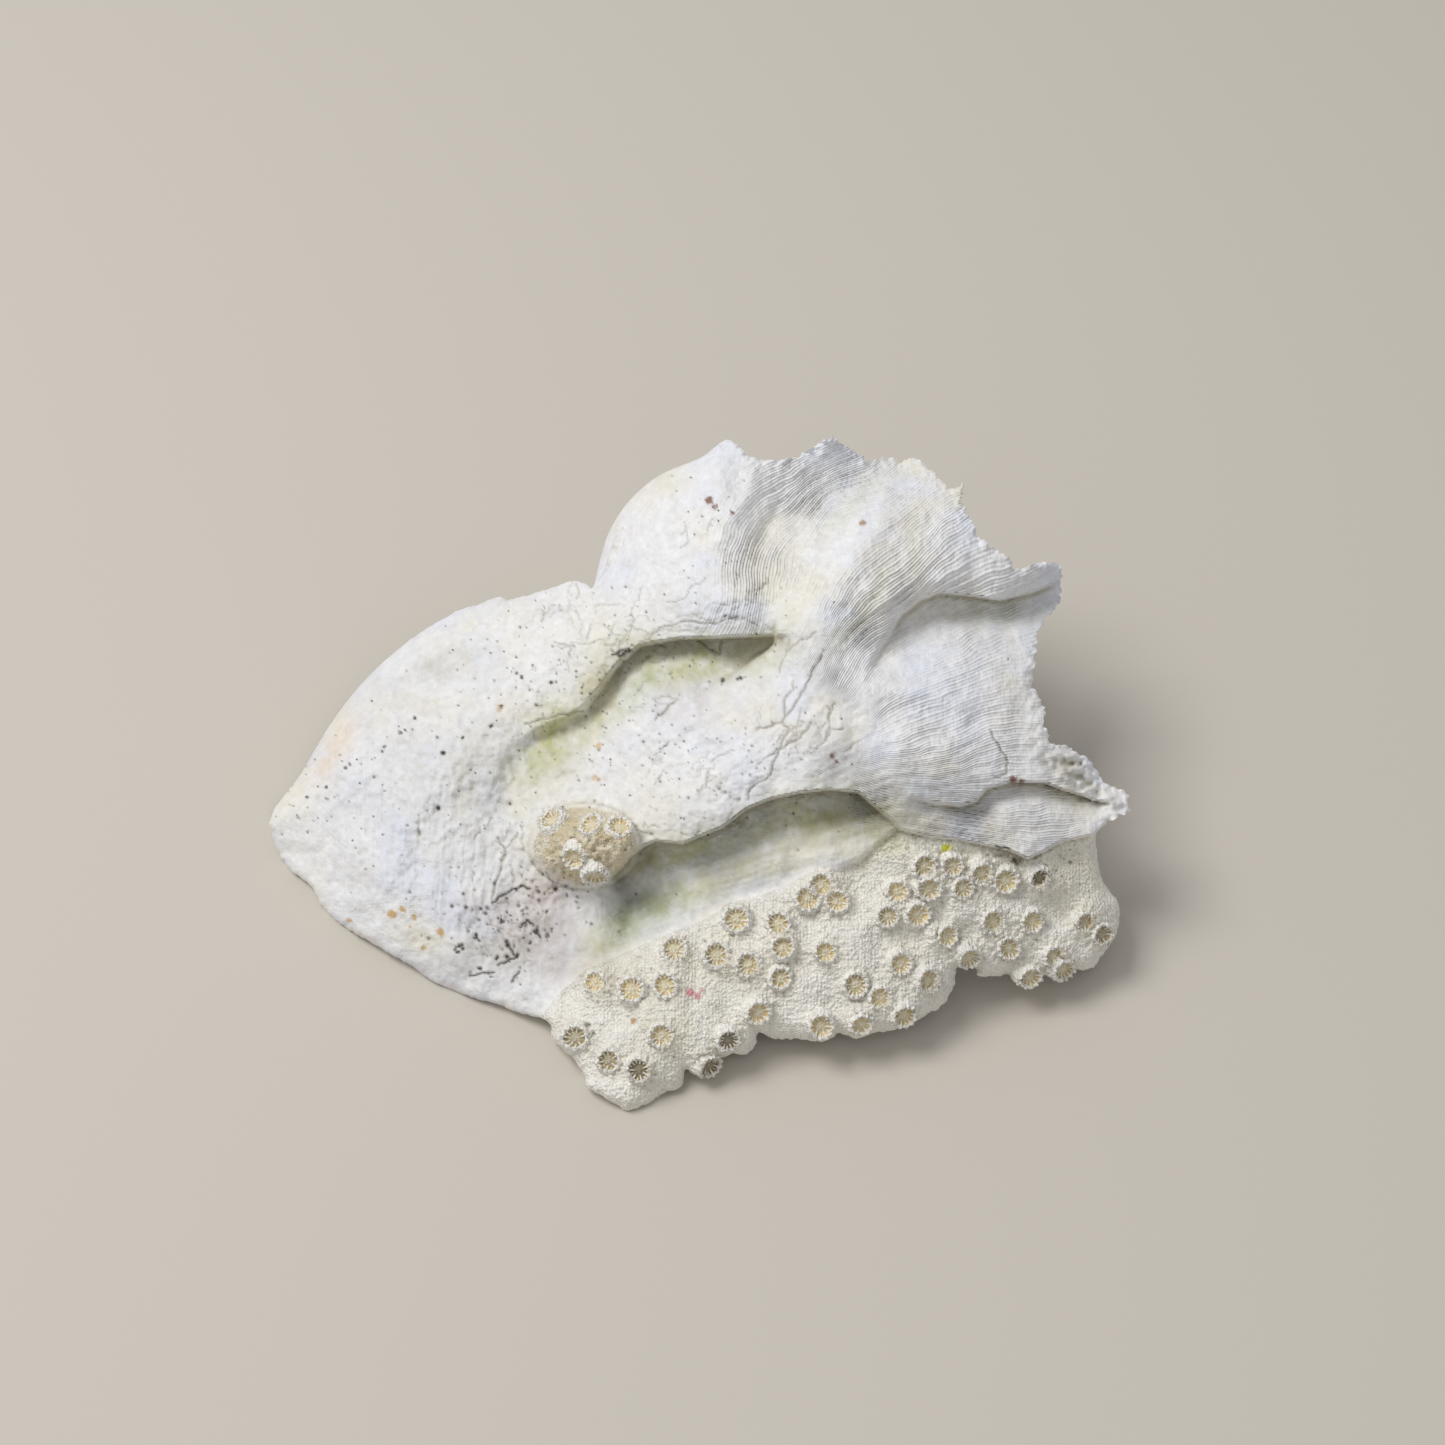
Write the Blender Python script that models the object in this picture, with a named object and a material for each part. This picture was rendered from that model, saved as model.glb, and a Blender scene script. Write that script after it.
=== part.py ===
"""A broken plate of cabbage coral, lying with its ribbed underside up.

One grown piece: a curved plate with a low lobe, two long hollows and a flaring ragged fan, a front frond
that turns its cups outward, and a skirt that folds down behind the fan. It is modelled in millimetres and
scaled to metres at the end. Places on the coral are read as pixels of its photograph, with the height in
millimetres at which the line of sight through that pixel meets the surface.
"""

import math

import bmesh
import bpy
import numpy as np
from mathutils import Matrix, Vector

# The line of sight
VIEW_ELEVATION = math.radians(48)
PIXEL = 0.17  # millimetres that one pixel spans at the aim
EYE_DISTANCE = 545.0
FRAME_CENTRE = 722.5
AIM = np.array((5.5, 29.2, 0.0))
FORWARD = np.array((0.0, math.cos(VIEW_ELEVATION), -math.sin(VIEW_ELEVATION)))
UPWARD = np.array((0.0, math.sin(VIEW_ELEVATION), math.cos(VIEW_ELEVATION)))
EYE = AIM - EYE_DISTANCE * FORWARD

# Driving sizes in millimetres
PLATE_THICKNESS = 2.6
MARGIN_THICKNESS = 1.1
MARGIN_TAPER = 10.0
SKIRT_THICKNESS = 2.4
SKIRT_REACH = 9.0
SKIRT_GRID = (25, 14)
SKIRT_FLUTE = 1.5  # how deep the skirt is waved
SKIRT_FLUTE_LENGTH = 2.4  # in points of the limb
BODY_CENTRE = np.array((10.0, -10.0, 10.0))  # the normals of the skirt point away from it
CUP_RADIUS = 2.1
CUP_HEIGHT = 1.3
KNOB_HEIGHT = 4.6
LIP_FADE = 12.0  # pixels past its end over which a lip dies away
TABLE_CUT = 0.6  # how far the grown form would reach below the flat it rests on
GRID_PIXELS = 3.5
VOXEL = 0.48
TRIANGLES = 9300

# The outline: pixel x, pixel y and the radius in millimetres with which the edge rolls away
OUTLINE = [
    (270, 820, 2.0), (283, 797, 3.0), (300, 775, 4.5), (330, 725, 5.0), (365, 680, 4.0), (410, 640, 2.5),
    (455, 612, 2.5), (480, 604, 2.5), (500, 596, 2.5), (508, 600, 2.5), (545, 590, 2.0), (570, 582, 2.0),
    (585, 583, 2.0), (593, 588, 2.0), (600, 560, 7.0), (610, 530, 9.0), (630, 500, 9.0), (660, 475, 8.0),
    (700, 458, 5.0), (716, 446, 1.0), (725, 441, 0.4), (735, 443, 0.4), (745, 455, 0.4), (764, 461, 0.4),
    (785, 461, 0.4), (800, 455, 0.4), (820, 443, 0.4), (833, 436, 0.4), (845, 447, 0.4), (870, 462, 0.4),
    (890, 457, 0.4), (902, 462, 0.4), (915, 457, 0.4), (925, 465, 0.4), (945, 483, 0.4), (950, 490, 0.4),
    (965, 483, 0.4), (960, 500, 0.4), (972, 520, 0.4), (975, 535, 0.4), (995, 550, 0.4), (1010, 558, 0.4),
    (1015, 570, 0.4), (1040, 563, 0.4), (1062, 563, 0.4), (1060, 600, 0.4), (1045, 620, 0.4),
    (1038, 630, 0.4), (1035, 660, 0.4), (1032, 685, 0.4), (1045, 710, 0.4), (1043, 722, 0.4),
    (1051, 743, 0.4), (1066, 747, 0.4), (1076, 751, 0.4), (1089, 761, 0.4), (1098, 773, 0.4),
    (1101, 779, 0.4), (1114, 788, 0.4), (1121, 788, 0.4), (1127, 793, 0.4), (1130, 810, 0.4),
    (1127, 813, 0.4), (1116, 816, 0.4), (1106, 824, 0.6), (1096, 834, 1.0), (1097, 850, 2.0),
    (1101, 877, 2.5), (1111, 893, 2.5), (1119, 905, 2.5), (1117, 932, 2.5), (1101, 957, 3.0),
    (1090, 969, 3.0), (1067, 969, 3.0), (1062, 978, 3.0), (1042, 975, 3.0), (1023, 980, 3.0),
    (1007, 975, 3.0), (980, 977, 3.0), (975, 968, 3.0), (957, 967, 3.0), (954, 987, 3.0), (941, 1006, 3.0),
    (918, 1019, 3.0), (895, 1030, 3.0), (872, 1033, 3.0), (856, 1039, 3.0), (840, 1033, 3.0),
    (825, 1041, 3.0), (802, 1039, 3.0), (772, 1039, 3.0), (758, 1031, 3.0), (756, 1042, 3.0),
    (747, 1054, 3.0), (733, 1054, 3.0), (717, 1061, 3.0), (694, 1070, 3.0), (686, 1069, 3.0),
    (681, 1087, 3.0), (664, 1093, 3.0), (653, 1100, 3.0), (639, 1108, 2.5), (625, 1112, 2.5),
    (616, 1104, 2.0), (587, 1087, 2.0), (585, 1076, 2.0), (571, 1056, 2.0), (553, 1040, 2.0),
    (549, 1022, 1.5), (520, 1013, 1.5), (500, 1005, 1.5), (475, 998, 1.5), (440, 985, 1.5),
    (410, 965, 1.5), (380, 948, 1.5), (350, 930, 1.5), (325, 910, 1.5), (310, 885, 1.5), (290, 870, 1.5),
    (275, 845, 1.5),
]

# Heights of the plate: pixel x, pixel y, millimetres above the table
LOBE = [
    (275, 820, 6), (300, 778, 8), (330, 730, 10), (365, 686, 12), (410, 646, 15), (455, 618, 18),
    (500, 604, 22), (545, 596, 26), (588, 592, 30), (290, 808, 8), (340, 768, 13.5), (400, 737, 18.5),
    (445, 712, 21), (500, 690, 24.5), (420, 690, 18.5), (470, 655, 21.5), (520, 640, 26), (560, 620, 30),
    (285, 840, 4), (330, 830, 9), (380, 800, 14.5), (430, 780, 18), (470, 760, 20), (310, 875, 3.5),
    (350, 860, 9), (400, 850, 13.5), (450, 840, 15.5), (500, 830, 16.5), (540, 830, 18), (350, 915, 4),
    (400, 905, 9.5), (450, 900, 11.5), (500, 900, 11.5), (550, 905, 11.5), (410, 955, 4), (460, 950, 7.5),
    (510, 955, 8), (550, 960, 8.5), (475, 992, 3), (520, 1003, 4), (552, 1015, 5),
]
RIDGES = [
    (505, 745, 22), (530, 722, 25), (560, 706, 27.5), (585, 690, 30), (610, 655, 35), (640, 634, 38),
    (680, 625, 41.5), (740, 622, 45), (775, 615, 46), (560, 790, 20), (600, 770, 24), (650, 745, 30),
    (700, 715, 35.5), (735, 697, 39), (780, 665, 43.5), (600, 800, 23), (650, 800, 28.5), (700, 775, 33),
    (750, 745, 37.5), (800, 705, 41.5), (625, 850, 23), (650, 838, 26), (690, 825, 29.5), (740, 802, 33),
    (800, 785, 36), (855, 783, 36), (885, 800, 34), (600, 900, 12), (640, 900, 14), (600, 940, 11.5),
    (660, 925, 15.5), (720, 905, 18.5), (790, 880, 21.5),
]
FAN = [
    (620, 600, 36), (650, 560, 42.5), (635, 520, 43), (680, 520, 48), (665, 485, 48), (700, 560, 48),
    (720, 480, 51), (735, 520, 50), (700, 600, 45.5), (740, 590, 48), (735, 450, 51), (772, 600, 46.5),
    (765, 560, 46.5), (785, 520, 46), (820, 490, 46.5), (860, 475, 46.5), (905, 466, 46), (785, 462, 50.5),
    (833, 442, 52), (790, 650, 46), (810, 600, 48.5), (840, 550, 49.5), (880, 510, 49.5), (930, 490, 48),
    (830, 640, 47), (860, 590, 49), (900, 550, 48.5), (950, 530, 47), (965, 500, 47), (850, 700, 42),
    (880, 650, 42.5), (915, 620, 42), (955, 612, 40), (1005, 608, 37.5), (1055, 595, 33), (900, 600, 46.5),
    (940, 580, 45.5), (1000, 585, 41.5), (1050, 570, 37), (830, 740, 40), (900, 690, 42), (960, 670, 40.5),
    (1030, 650, 36.5), (880, 750, 38.5), (950, 730, 38.5), (1030, 710, 35), (900, 790, 35.5),
    (960, 785, 34.5), (1020, 770, 33), (1050, 760, 32), (1090, 780, 27), (1125, 800, 24), (920, 825, 30),
    (980, 825, 28.5), (1040, 825, 27), (1090, 820, 25), (990, 845, 26.5), (1030, 855, 25), (1060, 840, 24.5),
]
FROND = [
    (560, 1000, 7), (600, 975, 11), (640, 950, 13.5), (700, 922, 17), (760, 895, 20), (826, 872, 22.5),
    (860, 862, 23.5), (897, 832, 27.5), (940, 845, 26), (1000, 858, 23), (1060, 850, 22), (1096, 845, 20),
    (1125, 850, 18), (570, 1030, 6), (620, 1010, 9.5), (660, 1000, 11.5), (720, 970, 14), (780, 950, 16),
    (850, 940, 17), (920, 915, 18.5), (1000, 905, 17.5), (1060, 905, 15.5), (1110, 900, 13.5),
    (600, 1070, 4.5), (640, 1060, 6.5), (625, 1105, 3), (690, 1045, 8), (740, 1020, 10), (800, 1005, 11),
    (870, 995, 11.5), (930, 970, 12.5), (1000, 945, 12.5), (1060, 945, 11), (1105, 935, 10), (690, 1068, 5),
    (760, 1045, 7), (850, 1035, 7.5), (930, 1010, 8.5), (1000, 972, 9), (1070, 970, 7.5),
]

# Lips under which the surface steps back: pixel x, pixel y and the step in millimetres.
# The low side is on the right of the line, as its points run on the picture; reach and edge are pixels.
LIPS = [
    {"name": "upper hollow", "reach": 36, "line": [
        (478, 790, 0, 20), (495, 762, 0.8, 20), (512, 742, 1.6, 18), (532, 728, 2.2, 16),
        (556, 718, 2.8, 14), (580, 706, 3.4, 12), (598, 685, 4, 10), (618, 660, 4.5, 8),
        (640, 643, 4.8, 6), (680, 637, 5, 5), (720, 636, 5.5, 4), (748, 635, 5.5, 4), (768, 634, 4, 5),
        (778, 633, 1.5, 6), (786, 632, 0, 7)]},
    {"name": "end of the upper hollow", "reach": 26, "line": [
        (777, 636, 2, 4), (776, 645, 3, 4), (770, 652, 3.5, 5), (756, 663, 3.5, 7), (736, 680, 2.5, 9),
        (714, 695, 1.3, 11), (690, 712, 0, 13)]},
    {"name": "lower hollow", "reach": 48, "line": [
        (600, 885, 0, 5), (622, 866, 5, 3), (630, 856, 6.5, 2), (645, 845, 7, 2), (656, 840, 7, 2),
        (683, 843, 6.5, 2), (699, 836, 6.5, 2), (722, 827, 6.5, 2), (747, 808, 7, 2), (772, 798, 7.5, 2),
        (800, 792, 7.5, 2), (830, 789, 7.5, 2), (858, 791, 7, 3), (874, 804, 5.5, 4), (888, 815, 3.5, 5),
        (900, 824, 1, 6), (908, 832, 0, 6)]},
    {"name": "ledge of the fan", "reach": 22, "line": [
        (905, 792, 0, 6), (930, 800, 1.5, 5), (960, 805, 2.2, 3), (976, 801, 2.5, 2), (987, 788, 2.8, 2),
        (1012, 781, 3, 2), (1045, 782, 3.5, 2), (1063, 789, 3, 2), (1076, 793, 2.5, 2), (1093, 799, 2, 2),
        (1115, 803, 0, 2)]},
    {"name": "fold of the fan", "reach": 40, "line": [
        (850, 690, 0, 12), (880, 640, 1.5, 9), (900, 612, 2.5, 6), (920, 598, 3.2, 5), (940, 591, 3.8, 4),
        (965, 594, 4, 3), (1000, 599, 4, 3), (1030, 592, 3.5, 3), (1062, 580, 3, 3)]},
]

# Low swellings and dips: pixel x and y, half length and half width in pixels, heading in degrees and height
SWELLS = [
    (352, 762, 62, 9, -36, 0.5), (445, 765, 75, 24, -58, 1.3), (508, 805, 50, 17, -75, -1.1),
    (402, 835, 32, 10, -80, 0.7), (430, 668, 34, 20, -35, -0.7), (385, 705, 40, 24, -45, 0.6),
    (360, 850, 50, 18, 40, 0.6), (470, 905, 46, 16, 25, 0.7), (540, 650, 40, 18, -30, 0.6),
    (665, 735, 60, 22, -15, 0.8), (735, 760, 46, 16, -30, 0.6), (640, 590, 30, 16, -70, 0.7),
    (680, 520, 34, 16, -60, -0.5), (760, 540, 40, 9, -62, -0.9), (742, 505, 40, 10, -55, 0.6),
    (855, 560, 46, 16, -55, 0.7), (930, 660, 60, 16, -20, 0.6), (960, 720, 60, 14, 8, -0.5),
    (900, 745, 50, 14, -8, 0.5),
]

# Where the frond begins: pixel x, pixel y and half the width in pixels over which the plate turns into it
FROND_TOP = [
    (530, 1030, 10), (560, 992, 10), (586, 969, 10), (616, 957, 9), (659, 937, 9), (701, 921, 9),
    (735, 902, 9), (781, 888, 8), (811, 872, 7), (840, 868, 6), (860, 861, 5), (879, 843, 4), (897, 829, 2),
    (918, 834, 1.5), (935, 838, 1.5), (958, 839, 1.5), (985, 845, 1.5), (1008, 850, 1.5), (1028, 859, 1.5),
    (1045, 851, 1.5), (1063, 841, 1.5), (1095, 835, 1.5), (1140, 815, 1.5),
]

KNOB_CENTRE = (585, 846)
KNOB_RADII = (56, 43)

# Cups that face the viewer, and those on the knob: pixel x, pixel y
FROND_CUPS = [
    (737, 920), (779, 924), (783, 948), (675, 951), (717, 956), (748, 965), (825, 952), (780, 978),
    (597, 983), (633, 991), (666, 987), (757, 1011), (662, 1035), (727, 1038), (706, 1063), (577, 1039),
    (610, 1061), (639, 1070), (807, 899), (821, 885), (837, 902), (897, 891), (928, 887), (961, 887),
    (887, 916), (916, 914), (945, 935), (991, 920), (1030, 920), (1007, 946), (967, 954), (855, 984),
    (899, 963), (879, 997), (925, 980), (902, 1013), (1052, 954), (1083, 921), (1099, 933), (1004, 879),
    (1037, 877), (923, 865), (951, 865), (980, 872), (1028, 974), (1060, 966), (820, 1024), (860, 1022),
]
KNOB_CUPS = [(555, 824), (594, 828), (620, 831), (577, 855), (596, 870)]

# The hidden living side: rows of cups under the plate, as pixels of the sight lines that cross them
HIDDEN_ROWS = [
    ((640, 540), (930, 520), 8), ((690, 590), (1010, 600), 8), ((830, 660), (1010, 690), 5),
    ((360, 760), (520, 660), 4), ((390, 850), (520, 790), 4), ((850, 740), (1060, 780), 5),
]

# The foot under the right end of the frond: pixel x, pixel y and radius in pixels
FOOT = (1062, 930, 27)

# The limb of the fan, from which the skirt folds down behind: pixel x, pixel y, height and share of the drop
LIMB = [
    (540, 600, 23, 0.30), (565, 592, 26, 0.55), (588, 592, 28.5, 0.85), (601, 562, 34, 1.0),
    (612, 532, 38, 1.0), (631, 503, 41.5, 1.0), (661, 478, 44.5, 1.0), (698, 462, 47, 0.85),
    (728, 450, 49, 0.45),
]


def seen(px, py, height):
    """The points at these heights on the lines of sight through these pixels."""
    across = (px - FRAME_CENTRE) * PIXEL
    rise = (FRAME_CENTRE - py) * PIXEL
    dy = EYE_DISTANCE * FORWARD[1] + rise * UPWARD[1]
    dz = EYE_DISTANCE * FORWARD[2] + rise * UPWARD[2]
    k = (height - EYE[2]) / dz
    return np.stack((EYE[0] + k * across, EYE[1] + k * dy, height + 0 * k), axis=-1)


def thin_plate(points):
    """A smooth sheet through the given heights, as a function of pixel x and y."""
    points = np.array(points, float)
    xy = points[:, :2] / 100
    count = len(points)
    square = ((xy[:, None] - xy[None]) ** 2).sum(-1)
    side = np.hstack((np.ones((count, 1)), xy))
    system = np.zeros((count + 3, count + 3))
    system[:count, :count] = square * np.log(square + 1e-12)
    system[:count, count:] = side
    system[count:, :count] = side.T
    weights = np.linalg.solve(system, np.append(points[:, 2], (0, 0, 0)))

    def height(px, py):
        x = px / 100
        y = py / 100
        total = weights[count] + weights[count + 1] * x + weights[count + 2] * y
        for (cx, cy), weight in zip(xy, weights):
            square = (x - cx) ** 2 + (y - cy) ** 2
            total = total + weight * square * np.log(square + 1e-12)
        return total
    return height


def beside(line, px, py, closed=False):
    """Distance to a line, positive on its right as drawn, with the line's columns at the nearest point."""
    line = np.array(line, float)
    if closed:
        line = np.vstack((line, line[:1]))
    best = np.full(np.shape(px), np.inf)
    sign = np.ones(np.shape(px))
    columns = np.zeros((line.shape[1],) + np.shape(px))
    for start, end in zip(line[:-1], line[1:]):
        ex, ey = end[:2] - start[:2]
        t = np.clip(((px - start[0]) * ex + (py - start[1]) * ey) / (ex * ex + ey * ey), 0, 1)
        distance = np.hypot(px - start[0] - t * ex, py - start[1] - t * ey)
        near = distance < best
        best = np.where(near, distance, best)
        sign = np.where(near, np.where(ex * (py - start[1]) > ey * (px - start[0]), 1.0, -1.0), sign)
        for k in range(len(columns)):
            columns[k] = np.where(near, start[k] + t * (end[k] - start[k]), columns[k])
    if closed:
        sign = np.where(inside(line, px, py), 1.0, -1.0)
    return best * sign, columns


def inside(line, px, py):
    """Whether each point lies inside a closed line."""
    odd = np.zeros(np.shape(px), bool)
    for start, end in zip(line[:-1], line[1:]):
        if start[1] != end[1]:
            crossing = start[0] + (py - start[1]) * (end[0] - start[0]) / (end[1] - start[1])
            odd ^= ((start[1] > py) != (end[1] > py)) & (px < crossing)
    return odd


def smooth_columns(line, px, py, softness=12.0):
    """The line's columns after x and y, averaged over the points of the line that are near."""
    total = np.zeros((len(line[0]) - 2,) + np.shape(px))
    share = np.zeros(np.shape(px))
    for x, y, *values in line:
        weight = ((px - x) ** 2 + (py - y) ** 2 + softness ** 2) ** -2.0
        share += weight
        for k, value in enumerate(values):
            total[k] += weight * value
    return total / share


def smoothstep(low, high, x):
    t = np.clip((x - low) / (high - low), 0, 1)
    return t * t * (3 - 2 * t)


def crosswise(line, px, py):
    """Offset across an open line, positive on its right as drawn, and how far a place lies past its ends."""
    offset, _ = beside(line, px, py)
    past = np.zeros(np.shape(px))
    for end, inner in ((line[0], line[1]), (line[-1], line[-2])):
        ex = end[0] - inner[0]
        ey = end[1] - inner[1]
        beyond = ((px - end[0]) * ex + (py - end[1]) * ey) / math.hypot(ex, ey)
        at_end = (np.hypot(px - end[0], py - end[1]) < np.abs(offset) + 0.001) & (beyond > 0)
        sideways = np.sqrt(np.maximum(offset ** 2 - beyond ** 2, 0)) * np.sign(offset)
        offset = np.where(at_end, sideways, offset)
        past = np.where(at_end, beyond, past)
    return offset, past


def swelling(px, py, x, y, along, across, heading):
    """A soft elliptical patch, 1 at its centre."""
    turn = math.radians(heading)
    dx = px - x
    dy = py - y
    u = (dx * math.cos(turn) + dy * math.sin(turn)) / along
    v = (dy * math.cos(turn) - dx * math.sin(turn)) / across
    return np.exp(-(u * u + v * v))


plate_height = thin_plate(LOBE + RIDGES + FAN)
frond_height = thin_plate(FROND)


def frond_share(px, py):
    """How far a place belongs to the frond, from 0 to 1."""
    distance, columns = beside(FROND_TOP, px, py)
    return smoothstep(-1, 1, distance / columns[2])


def knob_share(px, py):
    """1 at the middle of the knob and 0 at its foot."""
    radius = np.hypot((px - KNOB_CENTRE[0]) / KNOB_RADII[0], (py - KNOB_CENTRE[1]) / KNOB_RADII[1])
    return np.clip(1 - radius ** 2, 0, 1)


def base_height(px, py):
    """Height of the side that faces the viewer, before its outline rolls away."""
    height = plate_height(px, py)
    for x, y, along, across, heading, rise in SWELLS:
        height = height + rise * swelling(px, py, x, y, along, across, heading)
    for lip in LIPS:
        offset, past = crosswise(lip["line"], px, py)
        drop, edge = smooth_columns(lip["line"], px, py)
        fall = smoothstep(0, edge, offset) * np.exp(-(np.maximum(offset, 0) / lip["reach"]) ** 2)
        height = height - drop * fall * np.exp(-(past / LIP_FADE) ** 2)
    share = frond_share(px, py)
    height = height * (1 - share) + frond_height(px, py) * share
    return height + KNOB_HEIGHT * knob_share(px, py) ** 0.7


def front_height(px, py):
    """Height of the side that faces the viewer."""
    distance, columns = beside(OUTLINE, px, py, closed=True)
    turn = np.clip(1 - np.abs(distance) * PIXEL / columns[2], 0, 1)
    return base_height(px, py) - math.sin(VIEW_ELEVATION) * columns[2] * (1 - np.sqrt(1 - turn ** 2))


def lowest_near(field, allowed, reach):
    """For each cell, the lowest allowed value within reach cells."""
    far = np.where(allowed, field, np.inf)
    result = far.copy()
    rows, columns = field.shape
    padded = np.pad(far, reach, constant_values=np.inf)
    for dy in range(-reach, reach + 1):
        for dx in range(-reach, reach + 1):
            if dx * dx + dy * dy <= reach * reach:
                part = padded[reach + dy:reach + dy + rows, reach + dx:reach + dx + columns]
                result = np.minimum(result, part)
    return result


def build_mesh(name, points, faces):
    mesh = bpy.data.meshes.new(name)
    mesh.from_pydata([tuple(p) for p in points], [], faces)
    return mesh


def relief_mesh():
    """The plate and the frond: a closed body between the front heights and the back heights."""
    xs = np.arange(250, 1150, GRID_PIXELS)
    ys = np.arange(420, 1130, GRID_PIXELS)
    px, py = np.meshgrid(xs, ys)
    distance, columns = beside(OUTLINE, px, py, closed=True)
    snap = (distance < 0) & (distance > -0.75 * GRID_PIXELS)
    px = np.where(snap, columns[0], px)
    py = np.where(snap, columns[1], py)
    used = (distance >= 0) | snap
    front = front_height(px, py)
    reach = round(0.8 * PLATE_THICKNESS / PIXEL / GRID_PIXELS)
    thickness = PLATE_THICKNESS * np.ones(px.shape)
    margin = columns[2] < 0.9
    taper = smoothstep(0, MARGIN_TAPER, np.maximum(distance, 0) * PIXEL)
    thin = MARGIN_THICKNESS + (PLATE_THICKNESS - MARGIN_THICKNESS) * taper
    thickness = np.where(margin, thin, thickness)
    back = lowest_near(front, used, reach)
    back = np.where(used, back, 0)
    back = np.where(margin, front * (1 - taper) + back * taper, back) - thickness
    foot = np.hypot(px - FOOT[0], py - FOOT[1]) / FOOT[2]
    back = back + (np.minimum(back, -2.0) - back) * smoothstep(1.0, 0.8, foot)
    index = -np.ones(px.shape, int)
    index[used] = np.arange(used.sum())
    count = int(used.sum())
    points = np.vstack((seen(px[used], py[used], front[used]), seen(px[used], py[used], back[used])))
    corners = np.stack((index[:-1, :-1], index[1:, :-1], index[1:, 1:], index[:-1, 1:]), axis=-1)
    faces = []
    for quad in corners.reshape(-1, 4):
        kept = [int(i) for i in quad if i >= 0]
        if len(kept) >= 3:
            faces.append(kept)
    edges = set()
    for face in faces:
        edges.update(zip(face, face[1:] + face[:1]))
    walls = [[b, a, a + count, b + count] for a, b in edges if (b, a) not in edges]
    backs = [[i + count for i in reversed(face)] for face in faces]
    return build_mesh("relief", points, faces + backs + walls)


def skirt_sheet(columns, steps):
    """The outer side of the sheet that folds from the fan's limb down to the table, with its normals."""
    along = np.linspace(0, len(LIMB) - 1, columns)
    px, py, height, share = (np.interp(along, range(len(LIMB)), column) for column in zip(*LIMB))
    start = seen(px, py, height)
    reach = SKIRT_REACH * (0.4 + 0.6 * share)
    end = np.column_stack((start[:, 0] * 1.02, start[:, 1] + reach, height * (1 - share) - 2.0 * share))
    middle = start + FORWARD * (reach * 1.1)[:, None]
    t = np.linspace(0, 1, steps)[None, :, None]
    sheet = (1 - t) ** 2 * start[:, None] + 2 * t * (1 - t) * middle[:, None] + t * t * end[:, None]
    normal = np.cross(np.gradient(sheet, axis=0), np.gradient(sheet, axis=1))
    normal /= np.linalg.norm(normal, axis=-1, keepdims=True)
    normal *= np.sign((normal * (sheet - BODY_CENTRE)).sum(-1, keepdims=True))
    flute = SKIRT_FLUTE * np.sin(math.tau * along / SKIRT_FLUTE_LENGTH)[:, None, None]
    return sheet + normal * flute * smoothstep(0.1, 0.8, t), normal


def skirt_mesh():
    """The skirt as a closed body: its two sides and the walls between them."""
    columns, steps = SKIRT_GRID
    outer, normal = skirt_sheet(columns, steps)
    inner = outer - normal * SKIRT_THICKNESS
    points = np.vstack((outer.reshape(-1, 3), inner.reshape(-1, 3)))
    count = columns * steps
    faces = []
    for i in range(columns - 1):
        for k in range(steps - 1):
            a = i * steps + k
            quad = [a, a + 1, a + steps + 1, a + steps]
            faces.append(quad)
            faces.append([n + count for n in reversed(quad)])
    edges = set()
    for face in faces:
        edges.update(zip(face, face[1:] + face[:1]))
    for a, b in [(a, b) for a, b in edges if (b, a) not in edges and a < count and b < count]:
        faces.append([b, a, a + count, b + count])
    return build_mesh("skirt", points, faces)


def cup_mesh(place, axis, scale):
    """One cup: a short tapered tube with a hollowed top."""
    profile = [
        (1.25, -1.8), (1.15, 0.0), (1.0, 0.75), (0.95, 1.0), (0.72, 1.0), (0.6, 0.35),
    ]
    sides = 10
    turn = Vector((0, 0, 1)).rotation_difference(Vector(axis)).to_matrix().to_4x4()
    points = []
    for radius, height in profile:
        for k in range(sides):
            angle = math.tau * k / sides
            points.append((radius * CUP_RADIUS * math.cos(angle), radius * CUP_RADIUS * math.sin(angle),
                           height * CUP_HEIGHT))
    faces = []
    for ring in range(len(profile) - 1):
        for k in range(sides):
            a = ring * sides + k
            b = ring * sides + (k + 1) % sides
            faces.append([a, b, b + sides, a + sides])
    faces.append(list(reversed(range(sides))))
    faces.append([(len(profile) - 1) * sides + k for k in range(sides)])
    mesh = build_mesh("cup", points, faces)
    mesh.transform(Matrix.Translation(Vector(place)) @ turn @ Matrix.Scale(scale, 4))
    return mesh


def surface_frame(px, py):
    """A point of the front surface and its outward normal there, over the width of a cup."""
    step = 9.0
    xs = px + step * np.array((0, -1, 1, 0, 0))
    ys = py + step * np.array((0, 0, 0, -1, 1))
    points = seen(xs, ys, front_height(xs, ys))
    normal = np.cross(points[2] - points[1], points[3] - points[4])
    return points[0], normal / np.linalg.norm(normal)


def pixel_of(point):
    """The pixel through which a point is seen."""
    ray = point - EYE
    scale = EYE_DISTANCE / (PIXEL * (ray @ FORWARD))
    return FRAME_CENTRE + ray[0] * scale, FRAME_CENTRE - (ray @ UPWARD) * scale


def out_of_sight(point):
    """Whether a cup at this point stays behind the front surface."""
    px, py = pixel_of(point)
    reach = CUP_RADIUS * 1.2 / PIXEL
    xs = px + reach * np.array((0, -1, 1, 0, 0))
    ys = py + reach * np.array((0, 0, 0, -1, 1))
    edge, _ = beside(OUTLINE, xs, ys, closed=True)
    return edge.min() > 0 and point[2] + CUP_RADIUS < front_height(xs, ys).min()


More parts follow.
